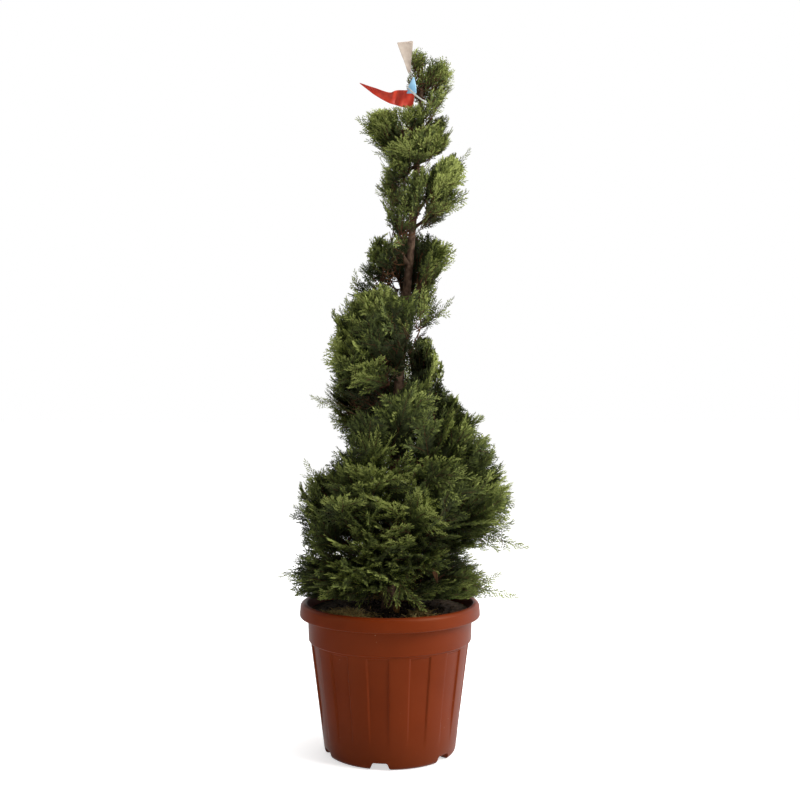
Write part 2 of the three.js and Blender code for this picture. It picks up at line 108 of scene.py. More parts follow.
for name, (place, width, height, watts) in LAMPS.items():
    lamp_data = bpy.data.lights.new(name, "AREA")
    lamp_data.shape = "RECTANGLE"
    lamp_data.size = width
    lamp_data.size_y = height
    lamp_data.energy = watts
    lamp = bpy.data.objects.new(name, lamp_data)
    lamp.location = place
    lamp.rotation_mode = "QUATERNION"
    lamp.rotation_quaternion = (AIM - Vector(place)).to_track_quat("-Z", "Y")
    bpy.context.scene.collection.objects.link(lamp)
print(len(LAMPS), "lamps")

# %% Surroundings
# The paper behind the plant and to its right is lit white, and the room in front is dim, so the pot's
# edges mirror white and its front stays deep in colour. The camera itself sees white all round.
SEEN_WHITE = 1.0
DIM_FRONT = 0.11
LIT_BACK = 1.08
BRIGHT_SIDE = (0.60, 0.80, 0)

world = bpy.data.worlds.new("white_studio")
world.use_nodes = True
bpy.context.scene.world = world
room = world.node_tree
sky = room.nodes["Background"]
sky.inputs["Color"].default_value = (1, 1, 1, 1)
direction = room.nodes.new("ShaderNodeTexCoord")
towards = room.nodes.new("ShaderNodeVectorMath")
towards.operation = "DOT_PRODUCT"
towards.inputs[1].default_value = BRIGHT_SIDE
front_to_back = room.nodes.new("ShaderNodeMapRange")
front_to_back.inputs["From Min"].default_value = -0.35
front_to_back.inputs["From Max"].default_value = 0.75
front_to_back.inputs["To Min"].default_value = DIM_FRONT
front_to_back.inputs["To Max"].default_value = LIT_BACK
path = room.nodes.new("ShaderNodeLightPath")
level = room.nodes.new("ShaderNodeMapRange")
level.inputs["To Max"].default_value = SEEN_WHITE
room.links.new(direction.outputs["Generated"], towards.inputs[0])
room.links.new(towards.outputs["Value"], front_to_back.inputs["Value"])
room.links.new(path.outputs["Is Camera Ray"], level.inputs["Value"])
room.links.new(front_to_back.outputs["Result"], level.inputs["To Min"])
room.links.new(level.outputs["Result"], sky.inputs["Strength"])
print("room from", DIM_FRONT, "in front to", LIT_BACK, "behind")

# %% [markdown]
# ## Small helpers for modelling by hand
#
# An operator acts on everything that is selected, so each piece starts from a clean selection.
# Faces are picked by a question about their centre and normal, as they would be picked by eye.
# At the end a piece's place goes into its mesh, so that its object sits at the origin.

# %% Selection and finishing helpers
def only(piece):
    """Leaves edit mode and selects this one piece."""
    if bpy.context.object and bpy.context.object.mode != "OBJECT":
        bpy.ops.object.mode_set(mode="OBJECT")
    bpy.ops.object.select_all(action="DESELECT")
    piece.select_set(True)
    bpy.context.view_layer.objects.active = piece


def clear_selection():
    bpy.ops.object.select_all(action="DESELECT")
    bpy.context.view_layer.objects.active = None


def pick_faces(piece, wanted):
    """In edit mode, selects the faces whose centre and normal satisfy a test."""
    bpy.ops.mesh.select_mode(type="FACE")
    bpy.ops.mesh.select_all(action="DESELECT")
    bpy.ops.object.mode_set(mode="OBJECT")
    found = [face for face in piece.data.polygons if wanted(face.center, face.normal)]
    for face in found:
        face.select = True
    bpy.ops.object.mode_set(mode="EDIT")
    return len(found)


def apply_modifiers(piece):
    only(piece)
    for modifier in list(piece.modifiers):
        bpy.ops.object.modifier_apply(modifier=modifier.name)


def rounded_off(piece, levels):
    """Rounds a piece with a subdivision surface, and applies this after its other modifiers."""
    rounder = piece.modifiers.new("rounder", "SUBSURF")
    rounder.levels = levels
    rounder.render_levels = levels
    apply_modifiers(piece)


def joined(pieces):
    """Joins pieces into the first of them."""
    only(pieces[0])
    for piece in pieces:
        piece.select_set(True)
    bpy.ops.object.join()
    return bpy.context.object


def settle(piece, name, material, smooth_angle=None):
    """Puts a piece's place into its mesh, names it, and gives it its finish and its body."""
    only(piece)
    bpy.ops.object.transform_apply(location=True, rotation=True, scale=True)
    if smooth_angle is not None:
        bpy.ops.object.shade_smooth_by_angle(angle=math.radians(smooth_angle))
    piece.name = name
    piece.data.name = name
    piece.data.materials.clear()
    piece.data.materials.append(material)
    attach(piece, "root")
    print(f"{name}: {len(piece.data.polygons)} faces")
    return piece


# %% Drawing an outline point by point, and spinning it
def drawn_outline(points):
    """A chain of edges through (x, z) points on the plane y = 0, in edit mode and all selected."""
    clear_selection()
    (x, z), *others = points
    bpy.ops.mesh.primitive_plane_add(size=0.01, location=(x, 0, z))
    bpy.ops.object.mode_set(mode="EDIT")
    bpy.ops.mesh.select_mode(type="VERT")
    bpy.ops.mesh.merge(type="CENTER")
    for next_x, next_z in others:
        move = (next_x - x, 0, next_z - z)
        bpy.ops.mesh.extrude_region_move(TRANSFORM_OT_translate={"value": move})
        x, z = next_x, next_z
    bpy.ops.mesh.select_all(action="SELECT")
    return bpy.context.object


def spun(points, steps):
    """A closed solid of revolution: the outline is spun round Z, and its seam and poles are merged."""
    piece = drawn_outline(points)
    bpy.ops.mesh.spin(steps=steps, angle=2 * math.pi, center=(0, 0, 0), axis=(0, 0, 1))
    bpy.ops.mesh.select_all(action="SELECT")
    bpy.ops.mesh.remove_doubles(threshold=0.00002)
    bpy.ops.mesh.normals_make_consistent(inside=False)
    bpy.ops.object.mode_set(mode="OBJECT")
    return piece


def arc(x, z, radius, start, end, steps):
    """Points of an arc round (x, z), with its angles in degrees from +X towards +Z."""
    angles = np.radians(np.linspace(start, end, steps))
    return [(x + radius * math.cos(a), z + radius * math.sin(a)) for a in angles]


# %% [markdown]
# ## Shader groups
#
# Three patterns serve most of the finishes, so each is a node group that is built once. Mottle gives
# soft blotches between 0 and 1. Flecks gives small separate spots, such as grit or scuffs. Relief
# gives a height for a Bump node, and its stretch turns even grain into fibres.

# %% Node helpers
def new_node(tree, kind, **settings):
    node = tree.nodes.new(kind)
    for key, value in settings.items():
        setattr(node, key, value)
    return node


def put(node, **values):
    """Sets a node's inputs. Underscores in their names stand for spaces."""
    for key, value in values.items():
        node.inputs[key.replace("_", " ")].default_value = value


def wire(tree, source, output, target, entry):
    tree.links.new(source.outputs[output], target.inputs[entry])


def new_group(name, inputs, outputs):
    """An empty shader group with float inputs, given with their usual values, and float outputs."""
    group = bpy.data.node_groups.new(name, "ShaderNodeTree")
    for label, value in inputs.items():
        kind = "NodeSocketVector" if isinstance(value, tuple) else "NodeSocketFloat"
        socket = group.interface.new_socket(label, in_out="INPUT", socket_type=kind)
        socket.default_value = value
    for label in outputs:
        group.interface.new_socket(label, in_out="OUTPUT", socket_type="NodeSocketFloat")
    entry = new_node(group, "NodeGroupInput")
    exit_node = new_node(group, "NodeGroupOutput")
    return group, entry, exit_node


def place_group(tree, group, **values):
    """One use of a shader group in a material, with its own values."""
    node = new_node(tree, "ShaderNodeGroup", node_tree=group)
    put(node, **values)
    return node


# %% The mottle group
MOTTLE, mottle_in, mottle_out = new_group(
    "mottle", {"Scale": 40.0, "Detail": 3.0, "Low": 0.35, "High": 0.65}, ["Amount"]
)
coordinates = new_node(MOTTLE, "ShaderNodeTexCoord")
cloud = new_node(MOTTLE, "ShaderNodeTexNoise")
spread = new_node(MOTTLE, "ShaderNodeMapRange")
wire(MOTTLE, coordinates, "Object", cloud, "Vector")
wire(MOTTLE, mottle_in, "Scale", cloud, "Scale")
wire(MOTTLE, mottle_in, "Detail", cloud, "Detail")
wire(MOTTLE, cloud, "Fac", spread, "Value")
wire(MOTTLE, mottle_in, "Low", spread, "From Min")
wire(MOTTLE, mottle_in, "High", spread, "From Max")
wire(MOTTLE, spread, "Result", mottle_out, "Amount")
print("group", MOTTLE.name)

# %% The flecks group
FLECKS, flecks_in, flecks_out = new_group("flecks", {"Scale": 200.0, "Size": 0.2}, ["Amount"])
coordinates = new_node(FLECKS, "ShaderNodeTexCoord")
cells = new_node(FLECKS, "ShaderNodeTexVoronoi")
near = new_node(FLECKS, "ShaderNodeMapRange")
put(near, To_Min=1.0, To_Max=0.0)
wire(FLECKS, coordinates, "Object", cells, "Vector")
wire(FLECKS, flecks_in, "Scale", cells, "Scale")
wire(FLECKS, cells, "Distance", near, "Value")
wire(FLECKS, flecks_in, "Size", near, "From Max")
wire(FLECKS, near, "Result", flecks_out, "Amount")
print("group", FLECKS.name)

# %% The relief group
RELIEF, relief_in, relief_out = new_group(
    "relief", {"Scale": 300.0, "Stretch": (1.0, 1.0, 1.0), "Roughen": 0.6}, ["Height"]
)
coordinates = new_node(RELIEF, "ShaderNodeTexCoord")
stretch = new_node(RELIEF, "ShaderNodeVectorMath", operation="MULTIPLY")
grain = new_node(RELIEF, "ShaderNodeTexNoise")
wire(RELIEF, coordinates, "Object", stretch, 0)
wire(RELIEF, relief_in, "Stretch", stretch, 1)
wire(RELIEF, stretch, "Vector", grain, "Vector")
wire(RELIEF, relief_in, "Scale", grain, "Scale")
wire(RELIEF, relief_in, "Roughen", grain, "Roughness")
wire(RELIEF, grain, "Fac", relief_out, "Height")
print("group", RELIEF.name)


# %% [markdown]
# ## Finishes
#
# Every finish starts from one Principled shader. A helper mixes two colours by a mask, and another
# adds a bump, so that each material below reads like its recipe. Numbers that are the same all over
# a surface are set on the shader itself.

# %% Material helpers
def principled_material(name, roughness, **extra):
    """A material and its shader, with any further inputs of the shader."""
    material = bpy.data.materials.new(name)
    material.use_nodes = True
    shader = material.node_tree.nodes["Principled BSDF"]
    put(shader, Roughness=roughness, **extra)
    return material, shader


def mixed(tree, mask, first, second):
    """The colour socket of a mix between two colours or colour sockets, by a mask socket."""
    mix = new_node(tree, "ShaderNodeMix", data_type="RGBA")
    tree.links.new(mask, mix.inputs["Factor"])
    for socket, colour in ((mix.inputs["A"], first), (mix.inputs["B"], second)):
        if isinstance(colour, tuple):
            socket.default_value = (*colour, 1)
        else:
            tree.links.new(colour, socket)
    return mix.outputs["Result"]


def add_bump(tree, shader, height, strength, distance):
    bump = new_node(tree, "ShaderNodeBump")
    put(bump, Strength=strength, Distance=distance)
    tree.links.new(height, bump.inputs["Height"])
    wire(tree, bump, "Normal", shader, "Normal")


def ranged(tree, mask, low, high):
    """A mask stretched to run from low to high."""
    span = new_node(tree, "ShaderNodeMapRange")
    put(span, To_Min=low, To_Max=high)
    tree.links.new(mask, span.inputs["Value"])
    return span.outputs["Result"]


# %% Two-tone finishes: bark, twigs, compost, moss and the dead stub
def two_tone(name, dark, light, roughness, mottle, relief, bump):
    """A rough natural surface: blotches between two colours, with its own grain."""
    material, shader = principled_material(name, roughness, Specular_IOR_Level=0.25)
    tree = material.node_tree
    blotches = place_group(tree, MOTTLE, **mottle)
    grain = place_group(tree, RELIEF, **relief)
    colour = mixed(tree, blotches.outputs["Amount"], dark, light)
    tree.links.new(colour, shader.inputs["Base Color"])
    add_bump(tree, shader, grain.outputs["Height"], *bump)
    return material


BARK = two_tone(
    "bark", (0.055, 0.030, 0.018), (0.200, 0.125, 0.080), 0.9,
    {"Scale": 90.0, "Low": 0.36, "High": 0.64}, {"Scale": 260.0, "Stretch": (1, 1, 0.16)}, (0.9, 0.0012),
)
TWIG = two_tone(
    "twig", (0.060, 0.028, 0.014), (0.170, 0.080, 0.036), 0.85,
    {"Scale": 60.0}, {"Scale": 500.0}, (0.6, 0.0006),
)
COMPOST = two_tone(
    "compost", (0.034, 0.0240, 0.0156), (0.150, 0.102, 0.065), 0.97,
    {"Scale": 130.0, "Low": 0.4, "High": 0.7}, {"Scale": 420.0}, (1.0, 0.0018),
)
MOSS = two_tone(
    "moss", (0.210, 0.155, 0.055), (0.620, 0.480, 0.210), 0.95,
    {"Scale": 150.0, "Low": 0.3, "High": 0.6}, {"Scale": 700.0}, (0.8, 0.0010),
)
STUB = two_tone(
    "dead_stub", (0.300, 0.120, 0.030), (0.620, 0.330, 0.110), 0.8,
    {"Scale": 160.0}, {"Scale": 300.0, "Stretch": (1, 1, 0.3)}, (0.8, 0.0010),
)
print("natural finishes ready")

# %% [markdown]
# The pot is injection-moulded polypropylene: an even terracotta brown with a satin skin. The real
# skin is never one colour. It has faint clouds, a few pale scuffs, fine grain, and compost dust near
# the ground. The dust mask comes from the height, read from the Object coordinates.

# %% Pot plastic
POT_PLASTIC, shader = principled_material("pot_plastic", 0.42, Specular_IOR_Level=0.22)
shader.inputs["Specular Tint"].default_value = (1.0, 0.66, 0.42, 1)
tree = POT_PLASTIC.node_tree
clouds = place_group(tree, MOTTLE, Scale=9.0, Detail=4.0, Low=0.3, High=0.7)
scuffs = place_group(tree, FLECKS, Scale=70.0, Size=0.09)
scuff_patches = place_group(tree, MOTTLE, Scale=16.0, Detail=2.0, Low=0.60, High=0.66)
grain = place_group(tree, RELIEF, Scale=900.0, Roughen=0.5)
scuff_mask = new_node(tree, "ShaderNodeMath", operation="MULTIPLY")
wire(tree, scuffs, "Amount", scuff_mask, 0)
wire(tree, scuff_patches, "Amount", scuff_mask, 1)
where = new_node(tree, "ShaderNodeTexCoord")
axes = new_node(tree, "ShaderNodeSeparateXYZ")
low_down = new_node(tree, "ShaderNodeMapRange")
put(low_down, From_Min=0.0, From_Max=0.09, To_Min=0.35, To_Max=0.0)
wire(tree, where, "Object", axes, "Vector")
wire(tree, axes, "Z", low_down, "Value")
skin = mixed(tree, clouds.outputs["Amount"], (0.168, 0.0225, 0.0032), (0.196, 0.0280, 0.0048))
dusty = mixed(tree, low_down.outputs["Result"], skin, (0.120, 0.027, 0.008))
scuffed = mixed(tree, scuff_mask.outputs["Value"], dusty, (0.420, 0.230, 0.150))
tree.links.new(scuffed, shader.inputs["Base Color"])
tree.links.new(ranged(tree, clouds.outputs["Amount"], 0.36, 0.47), shader.inputs["Roughness"])
add_bump(tree, shader, grain.outputs["Height"], 0.25, 0.0004)
print("pot plastic ready")

# %% Leaf tones
# Five tones are lit and shaded copies of one green, from painted shade deep in the crown to painted
# light at its outside, with fresh tips a little lighter; the sixth is dry leaves. They are dealt out
# face by face when the leaves grow, so each is one plain base colour. The small scales of the leaves
# are a relief in the normal.
LEAF_TONES = {
    "leaf_painted_deep_shade": (0.044, 0.054, 0.0220),
    "leaf_painted_shade": (0.062, 0.078, 0.0260),
    "leaf_painted_half_light": (0.106, 0.134, 0.0380),
    "leaf_fresh_and_painted_light": (0.185, 0.222, 0.0550),
    "leaf_tip_and_painted_highlight": (0.370, 0.420, 0.1150),
    "leaf_dry": (0.130, 0.070, 0.0300),
}
leaf_materials = []
for name, colour in LEAF_TONES.items():
    material, shader = principled_material(name, 0.62, Specular_IOR_Level=0.14)
    shader.inputs["Base Color"].default_value = (*colour, 1)
    scales = place_group(material.node_tree, RELIEF, Scale=900.0, Roughen=0.4)
    add_bump(material.node_tree, shader, scales.outputs["Height"], 0.5, 0.0006)
    leaf_materials.append(material)
print(len(leaf_materials), "leaf tones")


# %% Label film
RUBBED_DULLER = 0.15  # added to the film's roughness where it is rubbed


def label_film(name, dark, light, roughness):
    """Printed plastic film: nearly even, a little rubbed, with soft creases."""
    material, shader = principled_material(name, roughness, Specular_IOR_Level=0.5)
    tree = material.node_tree
    rubbed = place_group(tree, MOTTLE, Scale=70.0, Detail=4.0)
    creases = place_group(tree, RELIEF, Scale=60.0, Roughen=0.3)
    colour = mixed(tree, rubbed.outputs["Amount"], dark, light)
    tree.links.new(colour, shader.inputs["Base Color"])
    dulled = ranged(tree, rubbed.outputs["Amount"], roughness, roughness + RUBBED_DULLER)
    tree.links.new(dulled, shader.inputs["Roughness"])
    add_bump(tree, shader, creases.outputs["Height"], 0.4, 0.0010)
    return material


LABEL_RED = label_film("label_red_film", (0.580, 0.034, 0.016), (0.760, 0.062, 0.026), 0.34)
LABEL_BLUE = label_film("label_blue_film", (0.270, 0.560, 0.800), (0.380, 0.660, 0.880), 0.34)
LABEL_BACK = label_film("label_back_film", (0.520, 0.420, 0.340), (0.640, 0.540, 0.450), 0.50)
LABEL_EDGE = label_film("label_edge_film", (0.780, 0.770, 0.740), (0.880, 0.880, 0.860), 0.42)
print("label films ready")

# %% [markdown]
# ## The floor
#
# A wide sheet of matt paper. It runs far past the view on all sides, so that no edge of it shows
# from any angle. Its corners are rounded off by a bevel, as a cut sheet's are.

# %% Floor
FLOOR_SIZE = 60.0
PAPER_LIFT = 0.6  # a glow that only the camera sees, which lifts the paper to white

PAPER, shader = principled_material("studio_paper", 0.95, Specular_IOR_Level=0.1)
paper_grain = place_group(PAPER.node_tree, MOTTLE, Scale=3.0, Detail=2.0)
paper = mixed(PAPER.node_tree, paper_grain.outputs["Amount"], (0.90, 0.90, 0.895), (0.92, 0.92, 0.915))
PAPER.node_tree.links.new(paper, shader.inputs["Base Color"])
shader.inputs["Emission Color"].default_value = (1, 1, 1, 1)
seen = new_node(PAPER.node_tree, "ShaderNodeLightPath")
lift = ranged(PAPER.node_tree, seen.outputs["Is Camera Ray"], 0.0, PAPER_LIFT)
PAPER.node_tree.links.new(lift, shader.inputs["Emission Strength"])
clear_selection()
bpy.ops.mesh.primitive_plane_add(size=FLOOR_SIZE, location=(0, 0, 0))
floor = bpy.context.object
bpy.ops.object.mode_set(mode="EDIT")
bpy.ops.mesh.bevel(offset=4.0, segments=8, affect="VERTICES")
bpy.ops.object.mode_set(mode="OBJECT")
floor.name = "studio_floor"
floor.data.materials.append(PAPER)
floor.visible_glossy = False  # the pot's satin skin doesn't mirror the paper
floor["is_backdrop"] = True
print("floor", FLOOR_SIZE, "across")

# %% [markdown]
# ## The pot
#
# A nursery pot is moulded round a turned core, so its wall is a solid of revolution. Its section is
# drawn once, up the outside, over the rolled lip and down the inside, and spun. Twelve shallow
# flutes stiffen the wall under the collar, and six notches in the foot let water out. The flutes
# are inset and pushed in on the spun wall, and the notches are cut away at the end, so both follow
# the wall's taper.

# %% Pot section
WALL = 0.003
FOOT_RADIUS = 0.123
SHOULDER_RADIUS = 0.150
COLLAR_Z = 0.210
COLLAR_RADIUS = 0.1555
LIP_Z = POT_HEIGHT - 0.025
FLOOR_Z = 0.009
POT_STEPS = 180


def wall_radius(z):
    """Outer radius of the tapering wall below the collar."""
    return FOOT_RADIUS + (SHOULDER_RADIUS - FOOT_RADIUS) * z / COLLAR_Z


FLUTE_ROWS = [0.036, 0.052, 0.070, 0.090, 0.115, 0.140, 0.165, 0.190, 0.2055]
underside = [(0, 0), (0.042, 0), (0.0435, 0.0022), (0.045, FLOOR_Z), (0.103, FLOOR_Z), (0.1055, 0.0015)]
foot = [(0.107, 0), *arc(wall_radius(0.009) - 0.009, 0.009, 0.009, -90, -4, 6)]
wall = [(wall_radius(z), z) for z in (0.018, *FLUTE_ROWS, 0.2075)]
collar = [(0.1518, 0.2086), *arc(0.1521, 0.2108, 0.0013, -60, 0, 4), (COLLAR_RADIUS - 0.0008, 0.2500)]
lip_under = [(COLLAR_RADIUS + 0.0006, LIP_Z), (LIP_RADIUS - 0.0042, LIP_Z - 0.0010)]
lip_face = [
    *arc(LIP_RADIUS - 0.0028, LIP_Z + 0.0018, 0.0028, -75, 0, 5),
    (LIP_RADIUS - 0.0001, LIP_Z + 0.0070),
    (LIP_RADIUS - 0.0008, LIP_Z + 0.0125),
]
lip_top = arc(LIP_RADIUS - 0.0092, POT_HEIGHT - 0.0082, 0.0082, 8, 90, 8)
lip_top.append((LIP_RADIUS - 0.0108, POT_HEIGHT - 0.0004))
lip_inside = arc(LIP_RADIUS - 0.0108, POT_HEIGHT - 0.0032, 0.0028, 90, 176, 5)
inside = [(COLLAR_RADIUS - WALL, 0.245), *[(wall_radius(z) - WALL - 0.002, z) for z in (0.205, 0.014)]]
outer_side = [*underside, *foot, *wall, *collar, *lip_under, *lip_face]
pot_outline = [*outer_side, *lip_top, *lip_inside, *inside, (0, 0.012)]
pot = spun(pot_outline, POT_STEPS)
print("pot outline of", len(pot_outline), "points spun in", POT_STEPS, "steps")

# %% Flutes
FLUTES = 12
FLUTE_HALF = 8.0  # degrees
FLUTE_TURN = -98.0  # degrees from +X to the middle of the first flute
FLUTE_DEPTH = 0.0027
FLUTE_EDGE = 0.0026


def off_flute(place):
    """Degrees between a point and the middle of the nearest flute."""
    pitch = 360 / FLUTES
    around = (math.degrees(math.atan2(place.y, place.x)) - FLUTE_TURN) % pitch
    return min(around, pitch - around)


def on_flute(centre, normal):
    outside = math.hypot(centre.x, centre.y) > wall_radius(centre.z) - 0.001
    return outside and FLUTE_ROWS[0] < centre.z < FLUTE_ROWS[-1] and off_flute(centre) < FLUTE_HALF


only(pot)
bpy.ops.object.mode_set(mode="EDIT")
chosen = pick_faces(pot, on_flute)
bpy.ops.mesh.inset(thickness=FLUTE_EDGE, depth=0, use_even_offset=True)
bpy.ops.mesh.select_mode(type="VERT")
bpy.ops.object.mode_set(mode="OBJECT")
sunk = [point.index for point in pot.data.vertices if point.select]
rows = sorted({round(pot.data.vertices[i].co.z, 3) for i in sunk})
for z in rows:
    fade = min(1, (z - FLUTE_ROWS[0]) / 0.060) ** 0.8
    shrink = 1 - FLUTE_DEPTH * fade / wall_radius(z)
    for i in sunk:
        if round(pot.data.vertices[i].co.z, 3) == z:
            pot.data.vertices[i].co.x *= shrink
            pot.data.vertices[i].co.y *= shrink
print(chosen, "faces pushed in for", FLUTES, "flutes in", len(rows), "rows")

# %% Foot notches
NOTCHES = 6
NOTCH_HALF = [
    (0.0230, -0.003), (0.0200, 0.0002), (0.0178, 0.0022), (0.0163, 0.0052),
    (0.0150, 0.0094), (0.0136, 0.0122), (0.0112, 0.0134),
]

notch_outline = [*NOTCH_HALF, *[(-x, z) for x, z in reversed(NOTCH_HALF)]]
notch_cutter = drawn_outline(notch_outline)
bpy.ops.mesh.edge_face_add()
bpy.ops.mesh.extrude_region_move(TRANSFORM_OT_translate={"value": (0, 0.034, 0)})
bpy.ops.mesh.select_all(action="SELECT")
bpy.ops.mesh.normals_make_consistent(inside=False)
bpy.ops.object.mode_set(mode="OBJECT")
bpy.ops.object.transform_apply(location=True)
cutters = []
for k in range(NOTCHES):
    cutter = notch_cutter.copy()
    cutter.data = notch_cutter.data.copy()
    turn = math.radians(FLUTE_TURN + 360 * k / NOTCHES)
    cutter.data.transform(Matrix.Rotation(turn - math.pi / 2, 4, "Z") @ Matrix.Translation((0, 0.098, 0)))
    bpy.context.scene.collection.objects.link(cutter)
    cutters.append(cutter)
bpy.data.objects.remove(notch_cutter)
notch_cutters = joined(cutters)
cut = pot.modifiers.new("notches", "BOOLEAN")
cut.operation = "DIFFERENCE"
cut.solver = "EXACT"
cut.object = notch_cutters
soften = pot.modifiers.new("soften", "BEVEL")
soften.width = 0.0007
soften.segments = 2
soften.limit_method = "ANGLE"
soften.angle_limit = math.radians(28)
apply_modifiers(pot)
bpy.data.objects.remove(notch_cutters)
settle(pot, "pot_shell", POT_PLASTIC, 50)
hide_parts("pot")
print(NOTCHES, "notches cut")

# %% [markdown]
# ## Compost and what lies on it
#
# Compost is coarse: a lumpy bed with loose crumbs, a clump of yellowed moss and dead grass by the
# front left, and smaller bits of it on the right and at the back. The bed is spun like the pot and
# roughened, and the loose bits are small shapes that are copied many times.

# %% Compost bed
SOIL_RADIUS = COLLAR_RADIUS - 0.0036
SOIL_TOP = 0.2625
MOUND_RADIUS = 0.05


def soil_height(x, y):
    """Height of the compost: it swells round the stem and sinks a little towards the wall."""
    out = math.hypot(x, y)
    swell = 0.0045 * math.exp(-((out / MOUND_RADIUS) ** 2)) - 0.0055 * (out / SOIL_RADIUS) ** 4
    lumps = 0.0030 * noise.noise((x * 38, y * 38, 1.7)) + 0.0016 * noise.noise((x * 110, y * 110, 5.1))
    return SOIL_TOP + swell + lumps


bed_outline = [
    (0, 0.0135),
    (wall_radius(0.02) - 0.008, 0.0135),
    (wall_radius(0.19) - 0.0075, 0.19),
    (SOIL_RADIUS, 0.240),
]
bed_rings = [(SOIL_RADIUS * (1 - share), SOIL_TOP) for share in np.linspace(0, 1, 56)]
bed = spun([*bed_outline, *bed_rings], 200)
for point in bed.data.vertices:
    if point.co.z > SOIL_TOP - 0.001:
        point.co.z = soil_height(point.co.x, point.co.y)
settle(bed, "compost_bed", COMPOST, 60)
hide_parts("soil")
print("compost bed up to", round(max(point.co.z for point in bed.data.vertices), 4))


# %% Joined copies of small shapes
def shape_arrays(piece):
    """A small piece's vertices and its faces, as an array and a list, before it is deleted."""
    places = np.array([point.co for point in piece.data.vertices])
    faces = [list(face.vertices) for face in piece.data.polygons]
    bpy.data.objects.remove(piece)
    return places, faces


def joined_copies(name, shape, placements):
    """One mesh of many copies of a shape, each at its own 4x4 placement."""
    places, faces = shape
    all_places, all_faces = [], []
    for number, placement in enumerate(placements):
        turned = places @ np.array(placement)[:3, :3].T + np.array(placement)[:3, 3]
        all_places.append(turned)
        all_faces += [[i + number * len(places) for i in face] for face in faces]
    mesh = bpy.data.meshes.new(name)
    mesh.from_pydata(np.vstack(all_places).tolist(), [], all_faces)
    piece = bpy.data.objects.new(name, mesh)
    bpy.context.scene.collection.objects.link(piece)
    return piece


def placement_at(x, y, z, sizes, angles):
    size = Matrix.Diagonal((*sizes, 1))
    about_x, about_y, about_z = (Matrix.Rotation(a, 4, axis) for a, axis in zip(angles, "XYZ"))
    turn = about_z @ about_y @ about_x
    return Matrix.Translation((x, y, z)) @ turn @ size


# %% Crumbs
CRUMBS = 2600

clear_selection()
bpy.ops.mesh.primitive_ico_sphere_add(subdivisions=1, radius=1)
bpy.ops.object.mode_set(mode="EDIT")
bpy.ops.mesh.vertices_smooth(factor=0.2)
bpy.ops.transform.vertex_random(offset=0.28, seed=4)
bpy.ops.object.mode_set(mode="OBJECT")
crumb = shape_arrays(bpy.context.object)
luck = np.random.default_rng(11)
crumb_places = []
for _ in range(CRUMBS):
    out = (SOIL_RADIUS - 0.004) * math.sqrt(luck.random())
    angle = luck.uniform(0, 2 * math.pi)
    x, y = out * math.cos(angle), out * math.sin(angle)
    size = 0.0009 + 0.0030 * luck.random() ** 3
    sizes = size * luck.uniform(0.6, 1.3, 3)
    crumb_places.append(placement_at(x, y, soil_height(x, y) + 0.3 * size, sizes, luck.uniform(0, 6.28, 3)))
crumbs = joined_copies("compost_crumbs", crumb, crumb_places)
settle(crumbs, "compost_crumbs", COMPOST)

# %% Moss and dead grass
# name: centre, spread along x and y, number of blades
MOSS_CLUMPS = {
    "front_left": ((-0.088, -0.080), (0.046, 0.042), 1700),
    "left_edge": ((-0.056, -0.132), (0.016, 0.009), 220),
    "front_right": ((0.060, -0.070), (0.022, 0.030), 380),
    "right_edge": ((0.044, -0.130), (0.012, 0.008), 110),
    "back": ((-0.030, 0.098), (0.030, 0.014), 120),
}
BLADE_LENGTH = (0.006, 0.018)

clear_selection()
bpy.ops.mesh.primitive_plane_add(size=1, location=(0.5, 0, 0))
bpy.ops.object.mode_set(mode="EDIT")
bpy.ops.transform.resize(value=(1, 0.13, 1), center_override=(0, 0, 0))
bpy.ops.mesh.subdivide(number_cuts=2)
bpy.ops.object.mode_set(mode="OBJECT")
bpy.ops.object.transform_apply(location=True)
blade_piece = bpy.context.object
for point in blade_piece.data.vertices:
    point.co.z = 0.45 * point.co.x * (1 - point.co.x) + 0.5 * abs(point.co.y)
    point.co.y *= 1 - 0.8 * point.co.x**2
blade = shape_arrays(blade_piece)
luck = np.random.default_rng(12)
moss_places = []
for (middle_x, middle_y), (spread_x, spread_y), count in MOSS_CLUMPS.values():
    for _ in range(count):
        x = middle_x + spread_x * luck.normal() * 0.55
        y = middle_y + spread_y * luck.normal() * 0.55
        if math.hypot(x, y) > SOIL_RADIUS - 0.010:
            continue
        length = luck.uniform(*BLADE_LENGTH)
        heap = 0.015 * math.exp(-((x - middle_x) / spread_x) ** 2 - ((y - middle_y) / spread_y) ** 2)
        z = soil_height(x, y) + heap * luck.random()
        angles = (luck.uniform(-1.2, 1.2), luck.uniform(-0.7, 0.25), luck.uniform(0, 6.28))
        moss_places.append(placement_at(x, y, z, (length, length, length), angles))
moss = joined_copies("moss_clumps", blade, moss_places)
settle(moss, "moss_clumps", MOSS)

# %% [markdown]
# ## Stem line and crown rule
#
# The foliage has to grow from the same stem line and keep to the same spaces as the solid model.
# The rule is short: the shears left a groove that winds down the crown, each turn of it 1.6 times
# deeper than the last, and the foliage between two turns of it is one band. The band is cut into
# masses along its length. These functions take whole arrays of points, because thousands of sprigs
# are tested against them.

# %% Stem line
SOIL_MOUND = 0.268
TRUNK_TIP = 1.262
TRUNK_LEAN = 0.060
TRUNK_KINK = 0.006
TRUNK_SWAY = 0.006
TRUNK_FOOT_RADIUS = 0.0125
TRUNK_TIP_RADIUS = 0.0034
TAU = 2 * math.pi


def stem_centre(z):
    """Centre of the stem at one or many heights: it leans right, with a slight kink high up."""
    z = np.asarray(z, float)
    share = np.clip((z - SOIL_MOUND) / (TRUNK_TIP - SOIL_MOUND), 0, 1.05)
    kink = np.where(share > 0.5, TRUNK_KINK * np.sin(TAU * (share - 0.5)), 0)
    return np.stack([TRUNK_LEAN * share**1.5 + kink, TRUNK_SWAY * np.sin(TAU * share), z], axis=-1)


